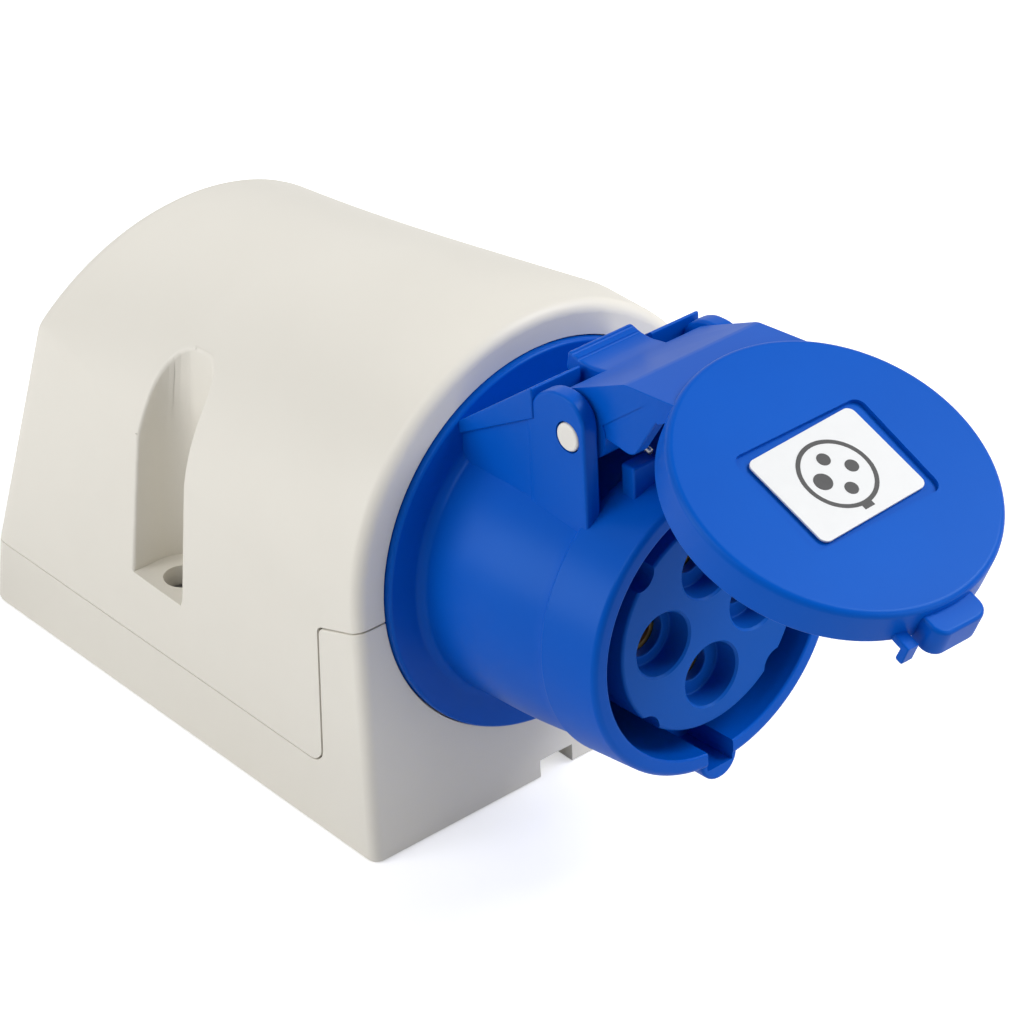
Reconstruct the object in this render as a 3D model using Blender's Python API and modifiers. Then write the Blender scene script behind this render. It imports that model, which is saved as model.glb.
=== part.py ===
"""Industrial wall socket: an angled housing, a round four-pole outlet and its sprung lid.

Metres, +Z up. The origin is the middle of the wall face, Z points out of the wall and the outlet
faces -Y. The outlet has a frame of its own: its Z runs out along the outlet's axis, its Y points to
the hinge, and the profiles of its pieces are written in it as (outward, up) or (radius, outward).
"""
import math

import bmesh
import bpy
from mathutils import Matrix, Vector

# Housing
HALF_WIDTH = 0.0434
HALF_LENGTH = 0.0585
BASE_HEIGHT = 0.0143
AXIS_HEIGHT = 0.0505
FACE_LEAN = math.radians(3.5)
BACK_LEAN = math.radians(8.0)
SIDE_LEAN = math.radians(10.0)
BACK_ARCH_RADIUS = 0.046
BACK_ARCH_HEIGHT = 0.032
SHOULDER_RADIUS = 0.005
WALL = 0.003
FRONT_WALL = 0.0045
FLOOR = 0.003
FRONT_EDGE_RADIUS = 0.0022
BACK_EDGE_RADIUS = 0.004

# Front pillar of the base
PILLAR_DEPTH = 0.0141
PILLAR_BACK_HEIGHT = 0.044
PILLAR_FRONT_HEIGHT = 0.048
PILLAR_FOOT_RADIUS = 0.0035
NOTCH_HALF_WIDTH = 0.0039
NOTCH_HEIGHT = 0.0037

# Screw channels in the cover's sides
CHANNEL_Y = 0.0046
CHANNEL_HALF_WIDTH = 0.0074
CHANNEL_DEPTH = 0.014
CHANNEL_FLOOR = 0.0274
CHANNEL_CORNER_RADIUS = 0.006
CHANNEL_WALL = 0.0025
SCREW_INSET = 0.0072
SCREW_HEAD_RADIUS = 0.0034
SCREW_HEAD_HEIGHT = 0.0024
SCREW_SHANK_RADIUS = 0.0016
SCREW_SINK = 0.006
SCREW_SLOT = 0.0009
BOSS_RADIUS = 0.0048
INSERT_RADIUS = 0.003
INSERT_LENGTH = 0.008

# Wall side
FIXING_HOLE_RADIUS = 0.0024
FIXING_SLOT_LENGTH = 0.008
FIXING_X = 0.029
FIXING_Y = 0.040

# Cable inlet in the back wall
INLET_HEIGHT = 0.041
INLET_RADIUS = 0.0105
GROMMET_LIP = 0.0025
GROMMET_LIP_DEPTH = 0.0018
GROMMET_MEMBRANE = 0.0012
GROMMET_NOSE_RADIUS = 0.0055
GROMMET_NOSE = 0.004

# Clearances
GAP = 0.0003
GASKET_WIDTH = 0.0012
GASKET_HEIGHT = 0.0017

# Outlet body
FLANGE_RADIUS = 0.037
FLANGE_FRONT = 0.0014
FLANGE_BACK = -0.0007
FLANGE_SEAT = 0.002
FLANGE_GASKET = 0.0007
TUBE_BACK_RADIUS = 0.0299
TUBE_MID_RADIUS = 0.0296
TUBE_MID = 0.0175
TUBE_NECK_RADIUS = 0.0284
TUBE_NECK = 0.0295
COLLAR_BACK = 0.0318
COLLAR_BACK_RADIUS = 0.0293
RIM_RADIUS = 0.0284
RIM_ROUND = 0.0012
RIM = 0.0443
MOUTH_RADIUS = 0.02525
MOUTH_FLOOR = 0.004
SPIGOT_RADIUS = 0.0294
SPIGOT_BACK = -0.012
SPIGOT_BORE = 0.027
KEY_RADIUS = 0.0042
KEY_CENTRE = 0.0275
KEY_BACK = 0.031
KEYWAY_HALF_WIDTH = 0.003
KEYWAY_REACH = 0.029

# Insulator and contacts
CORE_RADIUS = 0.0205
CORE_FACE = 0.0426
CORE_FLANGE = 0.0032
CONTACT_PITCH = 0.0109
WELL_RADIUS = 0.006
WELL_DEPTH = 0.005
WEB = 0.002
SCALLOP_RADIUS = 0.0032
SCALLOP_PITCH = 0.0222
SCALLOP_DEPTH = 0.022
SLEEVE_RADIUS = 0.0040
SLEEVE_BORE = 0.00255
EARTH_SLEEVE_RADIUS = 0.0050
EARTH_SLEEVE_BORE = 0.00355
SLEEVE_SLIT = 0.0008
SLEEVE_SLIT_LENGTH = 0.014
TAIL_RADIUS = 0.0025
TERMINAL_SIDE = 0.0094
TERMINAL_LENGTH = 0.0105
WIRE_HOLE_RADIUS = 0.0019
TERMINAL_SCREW_RADIUS = 0.0016
TERMINAL_SCREW_HEAD = 0.0006
TERMINAL_SCREW_SINK = 0.0036

# Hinge, on the outlet body
HINGE_OUT = 0.0294
HINGE_UP = 0.0386
PIN_RADIUS = 0.0026
EAR_OUTSIDE = 0.019
EAR_THICKNESS = 0.0033
EAR_FRONT = 0.0335
EAR_BACK = 0.0222
EAR_TOP = 0.0461
EAR_ROOT = 0.020
RAMP_HALF_WIDTH = 0.0193
RAMP_END = 0.021
RAMP_FOOT_UP = 0.0308
RAMP_END_UP = 0.0450
RAMP_THICKNESS = 0.0025
GUSSET_HALF_WIDTH = 0.0187
LEVER_RECESS_UP = 0.0363
LEVER_RECESS_START = 0.012
STOP_INNER_X = 0.006
STOP_OUTER_X = 0.0115
STOP_START = 0.034
STOP_END = 0.0372
STOP_UP = 0.0325

# Lid, written for the closed position about the hinge axis
LID_OPEN = math.radians(64.0)
LID_RADIUS = 0.0288
LID_TOP = 0.0222
LID_PLATE = 0.0026
LID_SKIRT = 0.0070
LID_SKIRT_WALL = 0.0016
LID_EDGE_ROUND = 0.0012
SEAL_INNER_RADIUS = 0.0238
SEAL_LIP = 0.0008
RIB_WIDTH = 0.0014
RIB_HEIGHT = 0.0024
LABEL_HALF_WIDTH = 0.01225
LABEL_HALF_HEIGHT = 0.0095
LABEL_THICKNESS = 0.0004
LABEL_CORNER = 0.0015
LABEL_TURN = math.radians(2.5)
LABEL_RECESS_HALF_WIDTH = 0.0145
LABEL_RECESS_HALF_HEIGHT = 0.0108
LABEL_RECESS_DEPTH = 0.0008
HOOD_HALF_WIDTH = 0.0153
HOOD_EDGE_ROUND = 0.0024
BARREL_RADIUS = 0.0054
FACET_DISTANCE = 0.0074
FACET_ANGLE = math.radians(49.2)
CREASE = (0.0158, -0.0039)
FACET_END = (0.0218, -0.0147)
CREASE_ROUND = 0.0015
HOOD_NOSE = -0.0165
HOOD_NOSE_DROP = 0.0022
HOOD_FOOT_FRONT = -0.0130
HOOD_FOOT_BACK = -0.0088
HOOD_ROUND_FROM = 0.0055
HOOD_SKIN = 0.0024
CHEEK = 0.003
TOOTH_TIP = (0.0044, -0.0110)
TOOTH_ROUND = 0.0025
TOOTH_SLOT_END = (0.0168, -0.0127)
TOOTH_SLOT_ROUND = 0.0006
TOOTH_SLOT_TOP = -0.0085
TOOTH_ROOT = (0.0020, 0.0)
TOOTH_BACK = (0.0024, -0.0046)
LEVER_HALF_WIDTH = 0.00725
LEVER_TOP_BACK = (0.0009, 0.0146)
LEVER_TOP_FRONT = (0.0016, 0.0101)
LEVER_FOOT_FRONT = (0.0050, 0.0054)
LEVER_FOOT_BACK = (-0.0026, 0.0136)
LEVER_ROOT_FRONT = (0.0, 0.004)
LEVER_ROOT_BACK = (-0.003, 0.0055)
LEVER_GROOVE = 0.0007
LUG_HALF_WIDTH = 0.0058
LUG_REACH = 0.0330
LUG_WALL = 0.0010
LUG_ROUND = 0.0028
LUG_ROOM_ROUND = 0.002
LUG_TOP_DROP = 0.002
LUG_BOTTOM_DROP = 0.0080
TAB_X = -0.0085
TAB_HALF_WIDTH = 0.0013
TAB_REACH = 0.0308
TAB_DROP = 0.0092
TAB_ROOT = 0.0018
TAB_THICKNESS = 0.0016
WINDOW_DEPTH = 0.012
WINDOW_BACK = 0.004

# Lid spring
WIRE_RADIUS = 0.00055
COIL_RADIUS = 0.00375
COIL_HALF_LENGTH = 0.0066
COIL_TURNS = 7
LEG_LENGTH = 0.0080
STOP_LEG = (0.0068, -0.0051)

# Values that follow from the driving sizes
HALL = HALF_WIDTH - WALL
PILLAR_BACK = -HALF_LENGTH + PILLAR_DEPTH
SCREW_X = HALF_WIDTH - SCREW_INSET
LID_CENTRE = -HINGE_UP
LID_BOTTOM = LID_TOP - LID_SKIRT
SEAL_OUTER_RADIUS = LID_RADIUS - LID_SKIRT_WALL - GAP
EAR_INSIDE = EAR_OUTSIDE - EAR_THICKNESS
CORE_BACK = MOUTH_FLOOR - GAP - CORE_FLANGE
CARRIER_FRONT = CORE_BACK - GAP
TERMINAL_FRONT = SPIGOT_BACK - GAP
FAR = 0.2

# Maps an outline drawn as (along, up) onto a side view, with its thickness across
HOUSING_SIDE = Matrix(((0, 0, 1, 0), (1, 0, 0, 0), (0, 1, 0, 0), (0, 0, 0, 1)))
OUTLET_SIDE = Matrix(((0, 0, -1, 0), (0, 1, 0, 0), (1, 0, 0, 0), (0, 0, 0, 1)))
ACROSS = Matrix.Rotation(math.radians(90), 4, "Y")

for old in list(bpy.data.objects):
    bpy.data.objects.remove(old, do_unlink=True)

parts = bpy.data.collections.new("industrial_wall_socket")
tools = bpy.data.collections.new("cutters")
bpy.context.scene.collection.children.link(parts)
bpy.context.scene.collection.children.link(tools)


def material(name, colour, roughness, metallic=0.0):
    """A Principled material with a plain colour."""
    made = bpy.data.materials.new(name)
    made.use_nodes = True
    shader = made.node_tree.nodes["Principled BSDF"]
    shader.inputs["Base Color"].default_value = (*colour, 1.0)
    shader.inputs["Roughness"].default_value = roughness
    shader.inputs["Metallic"].default_value = metallic
    return made


CREAM = material("cream_plastic", (0.78, 0.76, 0.70), 0.45)
BLUE = material("blue_plastic", (0.0, 0.11, 0.55), 0.38)
DEEP_BLUE = material("deep_blue_plastic", (0.01, 0.08, 0.36), 0.45)
WHITE = material("white_plastic", (0.85, 0.84, 0.80), 0.4)
GREY = material("grey_plastic", (0.35, 0.36, 0.38), 0.5)
SEAL_RUBBER = material("seal_rubber", (0.05, 0.05, 0.055), 0.8)
STEEL = material("zinc_steel", (0.62, 0.63, 0.64), 0.3, 1.0)
BRASS = material("brass", (0.72, 0.52, 0.22), 0.3, 1.0)
LABEL = material("label_film", (0.88, 0.88, 0.88), 0.4)


def frame_empty(name, matrix, parent=None):
    """An empty that carries a frame for the pieces under it."""
    empty = bpy.data.objects.new(name, None)
    parts.objects.link(empty)
    empty.parent = parent
    empty.matrix_local = matrix
    return empty


def mesh_object(name, bm, parent=None, finish=None, location=(0, 0, 0)):
    """Puts a bmesh in the scene as a part, or as a cutter where it has no finish."""
    mesh = bpy.data.meshes.new(name)
    bm.to_mesh(mesh)
    bm.free()
    mesh.shade_smooth()
    mesh.set_sharp_from_angle(angle=math.radians(32))
    item = bpy.data.objects.new(name, mesh)
    item.parent = parent
    item.location = location
    if finish:
        mesh.materials.append(finish)
        parts.objects.link(item)
    else:
        item.hide_render = True
        item.display_type = "WIRE"
        tools.objects.link(item)
    return item


def combine(target, other, operation):
    """Boolean modifier that joins or cuts."""
    step = target.modifiers.new(operation.lower() + "_" + other.name, "BOOLEAN")
    step.operation = operation
    step.solver = "EXACT"
    step.object = other


def cut(target, *others):
    for other in others:
        combine(target, other, "DIFFERENCE")


def join(target, *others):
    for other in others:
        combine(target, other, "UNION")


def rounded(corners, steps=6):
    """Outline from corners (x, y) or (x, y, radius), with the radii drawn as arcs."""
    points = []
    count = len(corners)
    for i, corner in enumerate(corners):
        here = Vector(corner[:2])
        radius = corner[2] if len(corner) > 2 else 0.0
        if radius == 0.0:
            points.append(tuple(here))
            continue
        before = (Vector(corners[i - 1][:2]) - here).normalized()
        after = (Vector(corners[(i + 1) % count][:2]) - here).normalized()
        half = before.angle(after) / 2
        centre = here + (before + after).normalized() * radius / math.sin(half)
        start = here + before * radius / math.tan(half) - centre
        end = here + after * radius / math.tan(half) - centre
        sweep = math.atan2(start.x * end.y - start.y * end.x, start.dot(end))
        for k in range(steps + 1):
            turn = sweep * k / steps
            x = start.x * math.cos(turn) - start.y * math.sin(turn)
            y = start.x * math.sin(turn) + start.y * math.cos(turn)
            points.append((centre.x + x, centre.y + y))
    return points


def arc(centre, radius, start, end, steps):
    """Points of an arc between two angles."""
    angles = [start + (end - start) * k / steps for k in range(steps + 1)]
    return [(centre[0] + radius * math.cos(a), centre[1] + radius * math.sin(a)) for a in angles]


def extruded(outline, low, high, matrix=Matrix.Identity(4)):
    """Bmesh of a flat outline, extruded between two heights and then mapped by a matrix."""
    curve = bpy.data.curves.new("outline", "CURVE")
    curve.dimensions = "2D"
    curve.fill_mode = "BOTH"
    curve.extrude = (high - low) / 2
    spline = curve.splines.new("POLY")
    spline.points.add(len(outline) - 1)
    for point, (x, y) in zip(spline.points, outline):
        point.co = (x, y, 0.0, 1.0)
    spline.use_cyclic_u = True
    source = bpy.data.objects.new("outline", curve)
    tools.objects.link(source)
    source.location.z = (high + low) / 2
    bpy.context.view_layer.update()
    graph = bpy.context.evaluated_depsgraph_get()
    mesh = bpy.data.meshes.new_from_object(source.evaluated_get(graph))
    bm = bmesh.new()
    bm.from_mesh(mesh)
    bmesh.ops.remove_doubles(bm, verts=bm.verts, dist=1e-7)
    bm.transform(matrix @ source.matrix_world)
    bmesh.ops.recalc_face_normals(bm, faces=bm.faces)
    bpy.data.objects.remove(source, do_unlink=True)
    bpy.data.curves.remove(curve)
    bpy.data.meshes.remove(mesh)
    return bm


def box(low, high):
    """Bmesh of a box between two corners."""
    bm = bmesh.new()
    size = [b - a for a, b in zip(low, high)]
    middle = [(a + b) / 2 for a, b in zip(low, high)]
    bmesh.ops.create_cube(bm, size=1.0)
    bm.transform(Matrix.Translation(middle) @ Matrix.Diagonal((*size, 1.0)))
    return bm


def rod(radius, low, high, steps, place=Matrix.Identity(4)):
    """Bmesh of a cylinder along Z between two heights."""
    bm = bmesh.new()
    bmesh.ops.create_cone(bm, cap_ends=True, segments=steps, radius1=radius, radius2=radius,
                          depth=high - low)
    bm.transform(place @ Matrix.Translation((0, 0, (low + high) / 2)))
    return bm


def turned(name, profile, steps, closed, parent=None, finish=None, location=(0, 0, 0)):
    """Solid turned about Z from a profile of (radius, height), top to bottom on its outer side."""
    bm = bmesh.new()
    verts = [bm.verts.new((radius, 0, height)) for radius, height in profile]
    for a, b in zip(verts, verts[1:]):
        bm.edges.new((a, b))
    if closed:
        bm.edges.new((verts[-1], verts[0]))
    item = mesh_object(name, bm, parent, finish, location)
    screw = item.modifiers.new("turn", "SCREW")
    screw.axis = "Z"
    screw.steps = steps
    screw.render_steps = steps
    screw.use_merge_vertices = True
    screw.merge_threshold = 1e-6
    screw.use_smooth_shade = True
    return item


def bevel_where(bm, test, offset, segments):
    """Rounds the edges that a test picks."""
    edges = [edge for edge in bm.edges if test(*edge.verts)]
    bmesh.ops.bevel(bm, geom=edges, offset=offset, segments=segments, profile=0.5,
                    affect="EDGES", clamp_overlap=True)


def front_y(z):
    """Front face of the housing at a height."""
    return -HALF_LENGTH + z * math.tan(FACE_LEAN)


def back_y(z):
    """Back face of the housing at a height."""
    return HALF_LENGTH - z * math.tan(BACK_LEAN)


def base_side(grow=0.0, beyond=0.0):
    """Side view of the tray and its front pillar, as (y, z)."""
    top = BASE_HEIGHT + grow
    back = PILLAR_BACK + grow
    front = front_y(PILLAR_FRONT_HEIGHT)
    slope = (PILLAR_FRONT_HEIGHT - PILLAR_BACK_HEIGHT) / (PILLAR_BACK - front)
    return rounded([
        (front_y(0) - beyond, -beyond),
        (back_y(0) + beyond, -beyond),
        (back_y(top) + beyond, top),
        (back, top, PILLAR_FOOT_RADIUS - grow),
        (back, PILLAR_BACK_HEIGHT + grow, 0.0012),
        (front - beyond, PILLAR_FRONT_HEIGHT + grow + slope * beyond),
    ])


def arch_outline(t, inset, foot):
    """Section (x, z) of the cover, from one foot over the arch to the other.

    t runs from 0 at the front to 1 at the back. The side wall leans in and meets the arch in a
    shoulder, which is no more than a tangent point at the front.
    """
    lean = SIDE_LEAN * t
    centre = AXIS_HEIGHT + (BACK_ARCH_HEIGHT - AXIS_HEIGHT) * t
    radius = HALF_WIDTH + (BACK_ARCH_RADIUS - HALF_WIDTH) * t - inset
    side = HALF_WIDTH * math.cos(lean) - (centre - BASE_HEIGHT) * math.sin(lean) - inset
    shoulder = max(SHOULDER_RADIUS * t - inset, 0.0005)
    rise = math.sqrt(max((radius - shoulder) ** 2 - (side - shoulder) ** 2, 0.0))
    turn = lean + math.atan2(rise, side - shoulder)
    pivot = ((side - shoulder) * math.cos(lean) - rise * math.sin(lean),
             centre + (side - shoulder) * math.sin(lean) + rise * math.cos(lean))
    half = [((side - (foot - centre) * math.sin(lean)) / math.cos(lean), foot)]
    half += arc(pivot, shoulder, lean, turn, 3)
    half += arc((0, centre), radius, turn, math.pi / 2, 11)[1:]
    return half + [(-x, z) for x, z in reversed(half[:-1])]


def cover_loft(inset, front, back, foot, front_round, back_round):
    """Loft from the front arch to the lower back arch, with round end edges where asked."""
    span = back_y(AXIS_HEIGHT) - front_y(AXIS_HEIGHT)
    stations = []
    for k in range(4 if front_round else 1):
        turn = math.radians(30 * k)
        stations.append((front + front_round * (1 - math.cos(turn)), front_round * (1 - math.sin(turn))))
    stations += [(span * share, 0.0) for share in (0.13, 0.3, 0.5, 0.7, 0.87)]
    for k in reversed(range(4 if back_round else 1)):
        turn = math.radians(30 * k)
        stations.append((span - back - back_round * (1 - math.cos(turn)), back_round * (1 - math.sin(turn))))
    bm = bmesh.new()
    rings = []
    for depth, extra in stations:
        share = depth / span
        outline = arch_outline(max(0.0, (share - 0.12) / 0.88), inset + extra, foot)
        rings.append([bm.verts.new((x, (1 - share) * front_y(z) + share * back_y(z), z))
                      for x, z in outline])
    count = len(rings[0])
    for near, far in zip(rings, rings[1:]):
        for i in range(count):
            j = (i + 1) % count
            bm.faces.new((near[i], near[j], far[j], far[i]))
    bm.faces.new(rings[0])
    bm.faces.new(rings[-1])
    bmesh.ops.recalc_face_normals(bm, faces=bm.faces)
    return bm


def channel_outline(side, grow):
    """Plan of a side channel, as (x, y): open outwards, round at its inner corners."""
    inner = side * (HALF_WIDTH - CHANNEL_DEPTH - grow)
    outer = side * (HALF_WIDTH + 0.01)
    half = CHANNEL_HALF_WIDTH + grow
    return rounded([
        (outer, CHANNEL_Y - half),
        (outer, CHANNEL_Y + half),
        (inner, CHANNEL_Y + half, CHANNEL_CORNER_RADIUS + grow),
        (inner, CHANNEL_Y - half, CHANNEL_CORNER_RADIUS + grow),
    ])


def rim_strip(outer, inner, front):
    """Plan of a strip that follows the tray's rim round the back, between two insets."""
    back = back_y(BASE_HEIGHT)
    x_out = HALF_WIDTH - outer
    x_in = HALF_WIDTH - inner
    return rounded([
        (x_out, front),
        (x_out, back - outer, BACK_EDGE_RADIUS - outer),
        (-x_out, back - outer, BACK_EDGE_RADIUS - outer),
        (-x_out, front),
        (-x_in, front),
        (-x_in, back - inner, 0.0006),
        (x_in, back - inner, 0.0006),
        (x_in, front),
    ])


# The outlet's frame sits on the front face, and the hinge's frame opens the lid about its own X
face_point = Matrix.Translation((0, front_y(AXIS_HEIGHT), AXIS_HEIGHT))
outlet = frame_empty("outlet_frame", face_point @ Matrix.Rotation(math.radians(90) - FACE_LEAN, 4, "X"))
hinge = frame_empty("hinge_frame", Matrix.Translation((0, HINGE_UP, HINGE_OUT))
                    @ Matrix.Rotation(-LID_OPEN, 4, "X"), outlet)

# Base: tray and front pillar in one moulding
bm = extruded(base_side(), -HALF_WIDTH, HALF_WIDTH, HOUSING_SIDE)


def is_front_corner(a, b):
    on_face = all(abs(v.co.y - front_y(v.co.z)) < 1e-5 for v in (a, b))
    return on_face and abs(a.co.x - b.co.x) < 1e-6


def is_back_corner(a, b):
    on_face = all(abs(v.co.y - back_y(v.co.z)) < 1e-5 for v in (a, b))
    return on_face and abs(a.co.x - b.co.x) < 1e-6


bevel_where(bm, is_front_corner, FRONT_EDGE_RADIUS, 4)
bevel_where(bm, is_back_corner, BACK_EDGE_RADIUS, 5)
base = mesh_object("housing_base", bm, finish=CREAM)
hollow = [
    (front_y(FLOOR) + FRONT_WALL, FLOOR),
    (back_y(FLOOR) - WALL, FLOOR),
    (back_y(FAR) - WALL, FAR),
    (front_y(FAR) + FRONT_WALL, FAR),
]
base_hollow = mesh_object("cut_base_hollow", extruded(hollow, -HALL, HALL, HOUSING_SIDE))
cut(base, base_hollow)

socket_bore = mesh_object("cut_socket_bore", rod(SPIGOT_RADIUS + GAP, -0.02, 0.02, 64), outlet)
flange_seat = mesh_object("cut_flange_seat", rod(FLANGE_RADIUS + GAP, -FLANGE_SEAT, 0.02, 72), outlet)
cut(base, socket_bore, flange_seat)

drain = mesh_object("cut_drain", box((-NOTCH_HALF_WIDTH, -FAR, -0.01),
                                     (NOTCH_HALF_WIDTH, front_y(0) + FRONT_WALL + 0.001, NOTCH_HEIGHT)))
cut(base, drain)

for name, side in (("left", -1), ("right", 1)):
    place = Matrix.Translation((side * SCREW_X, CHANNEL_Y, 0))
    boss = mesh_object("base_boss_" + name, rod(BOSS_RADIUS, FLOOR / 2, BASE_HEIGHT, 24, place))
    join(base, boss)
    seat = mesh_object("cut_insert_" + name,
                       rod(INSERT_RADIUS + GAP, BASE_HEIGHT - INSERT_LENGTH - 2 * GAP, 0.03, 20, place))
    cut(base, seat)

groove_front = PILLAR_BACK + PILLAR_FOOT_RADIUS
groove = mesh_object("cut_gasket_groove",
                     extruded(rim_strip(WALL - GASKET_WIDTH - GAP, WALL + GAP, groove_front),
                              BASE_HEIGHT - GASKET_HEIGHT - GAP, BASE_HEIGHT + 0.001))
cut(base, groove)

for x in (-FIXING_X, FIXING_X):
    for y in (-FIXING_Y, FIXING_Y):
        half = FIXING_SLOT_LENGTH / 2
        slot = rounded([
            (x - half, y - FIXING_HOLE_RADIUS, FIXING_HOLE_RADIUS),
            (x + half, y - FIXING_HOLE_RADIUS, FIXING_HOLE_RADIUS),
            (x + half, y + FIXING_HOLE_RADIUS, FIXING_HOLE_RADIUS),
            (x - half, y + FIXING_HOLE_RADIUS, FIXING_HOLE_RADIUS),
        ], 4)
        cut(base, mesh_object("cut_fixing", extruded(slot, -0.01, FLOOR + 0.001)))

mesh_object("cover_gasket",
            extruded(rim_strip(WALL - GASKET_WIDTH, WALL, groove_front + GAP),
                     BASE_HEIGHT - GASKET_HEIGHT, BASE_HEIGHT),
            finish=SEAL_RUBBER)

# Cover: a lofted shell with a screw channel in each side
cover_foot = BASE_HEIGHT + GAP
cover = mesh_object("housing_cover",
                    cover_loft(0.0, 0.0, 0.0, cover_foot, FRONT_EDGE_RADIUS, BACK_EDGE_RADIUS),
                    finish=CREAM)
cover_hollow = mesh_object("cut_cover_hollow",
                           cover_loft(WALL, FRONT_WALL, WALL, FLOOR, 0.0, 0.0))
base_room = mesh_object("cut_base_room", extruded(base_side(GAP, 0.02), -FAR, FAR, HOUSING_SIDE))
for name, side in (("left", -1), ("right", 1)):
    place = Matrix.Translation((side * SCREW_X, CHANNEL_Y, 0))
    lining = mesh_object("channel_lining_" + name,
                         extruded(channel_outline(side, CHANNEL_WALL), CHANNEL_FLOOR - WALL, FAR))
    boss = mesh_object("cover_boss_" + name, rod(BOSS_RADIUS, 0.0, CHANNEL_FLOOR, 24, place))
    cut(cover_hollow, lining, boss)
cut(cover, cover_hollow, base_room, socket_bore, flange_seat)
for name, side in (("left", -1), ("right", 1)):
    place = Matrix.Translation((side * SCREW_X, CHANNEL_Y, 0))
    channel = mesh_object("cut_channel_" + name,
                          extruded(channel_outline(side, 0.0), CHANNEL_FLOOR, FAR))
    head_room = mesh_object("cut_head_" + name,
                            rod(SCREW_HEAD_RADIUS + GAP, CHANNEL_FLOOR - SCREW_SINK, 0.04, 24, place))
    shank_room = mesh_object("cut_shank_" + name, rod(SCREW_SHANK_RADIUS + GAP, 0.0, 0.04, 16, place))
    cut(cover, channel, head_room, shank_room)

    # Screw from the channel's floor into the insert of the base
    head_foot = CHANNEL_FLOOR - SCREW_SINK + GAP
    head_top = head_foot + SCREW_HEAD_HEIGHT
    screw = turned("cover_screw_" + name, [
        (0.0, head_top),
        (SCREW_HEAD_RADIUS * 0.8, head_top),
        (SCREW_HEAD_RADIUS, head_top - 0.0007),
        (SCREW_HEAD_RADIUS, head_foot),
        (SCREW_SHANK_RADIUS, head_foot),
        (SCREW_SHANK_RADIUS, BASE_HEIGHT - INSERT_LENGTH + 0.001),
        (0.0, BASE_HEIGHT - INSERT_LENGTH),
    ], 24, False, finish=STEEL, location=(side * SCREW_X, CHANNEL_Y, 0))
    for turn in (0, 90):
        bar = box((-SCREW_HEAD_RADIUS * 0.62, -SCREW_SLOT / 2, head_top - 0.0013),
                  (SCREW_HEAD_RADIUS * 0.62, SCREW_SLOT / 2, head_top + 0.001))
        bar.transform(place @ Matrix.Rotation(math.radians(turn + 20), 4, "Z"))
        cut(screw, mesh_object("cut_cross_" + name, bar))
    insert_foot = BASE_HEIGHT - INSERT_LENGTH - GAP
    turned("screw_insert_" + name, [
        (SCREW_SHANK_RADIUS + GAP, BASE_HEIGHT - GAP),
        (INSERT_RADIUS, BASE_HEIGHT - GAP),
        (INSERT_RADIUS, insert_foot),
        (SCREW_SHANK_RADIUS + GAP, insert_foot),
    ], 20, True, finish=BRASS, location=(side * SCREW_X, CHANNEL_Y, 0))

# Cable inlet in the back wall, closed by a rubber grommet
inlet = frame_empty("inlet_frame", Matrix.Translation((0, back_y(INLET_HEIGHT), INLET_HEIGHT))
                    @ Matrix.Rotation(BACK_LEAN - math.radians(90), 4, "X"))
cut(cover, mesh_object("cut_inlet", rod(INLET_RADIUS, -0.01, 0.01, 40), inlet))
neck = INLET_RADIUS - GAP
lip = INLET_RADIUS + GROMMET_LIP
turned("cable_grommet", [
    (0.0, GROMMET_NOSE + GROMMET_MEMBRANE),
    (GROMMET_NOSE_RADIUS, GROMMET_NOSE + GROMMET_MEMBRANE),
    (neck - 0.002, GROMMET_LIP_DEPTH + GAP),
    (lip - 0.0006, GROMMET_LIP_DEPTH + GAP),
    (lip, GROMMET_LIP_DEPTH - 0.0003),
    (lip, GAP),
    (neck, GAP),
    (neck, -WALL - GAP),
    (lip, -WALL - GAP),
    (lip - 0.0006, -WALL - GAP - GROMMET_LIP_DEPTH),
    (neck - 0.002, -WALL - GAP - GROMMET_LIP_DEPTH),
    (neck - 0.002, -0.001),
    (GROMMET_NOSE_RADIUS - 0.0008, GROMMET_NOSE),
    (0.0, GROMMET_NOSE),
], 24, False, inlet, SEAL_RUBBER)

# Outlet body: flange, tube, collar, spigot and the hinge bracket in one moulding
shroud = turned("socket_shroud", [
    (MOUTH_RADIUS + 0.0004, RIM),
    (RIM_RADIUS - RIM_ROUND, RIM),
    (RIM_RADIUS - RIM_ROUND * 0.3, RIM - RIM_ROUND * 0.3),
    (RIM_RADIUS, RIM - RIM_ROUND),
    (COLLAR_BACK_RADIUS, COLLAR_BACK),
    (TUBE_NECK_RADIUS, COLLAR_BACK - 0.0005),
    (TUBE_NECK_RADIUS, TUBE_NECK),
    (TUBE_MID_RADIUS, TUBE_MID),
    (TUBE_BACK_RADIUS, FLANGE_FRONT + 0.002),
    (TUBE_BACK_RADIUS + 0.0006, FLANGE_FRONT + 0.0006),
    (TUBE_BACK_RADIUS + 0.002, FLANGE_FRONT),
    (FLANGE_RADIUS - 0.0006, FLANGE_FRONT),
    (FLANGE_RADIUS, FLANGE_FRONT - 0.0006),
    (FLANGE_RADIUS, FLANGE_BACK),
    (SPIGOT_RADIUS, FLANGE_BACK),
    (SPIGOT_RADIUS, SPIGOT_BACK),
    (SPIGOT_BORE, SPIGOT_BACK),
    (SPIGOT_BORE, MOUTH_FLOOR),
    (MOUTH_RADIUS, MOUTH_FLOOR),
    (MOUTH_RADIUS, RIM - 0.0004),
], 52, True, outlet, BLUE)

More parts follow.
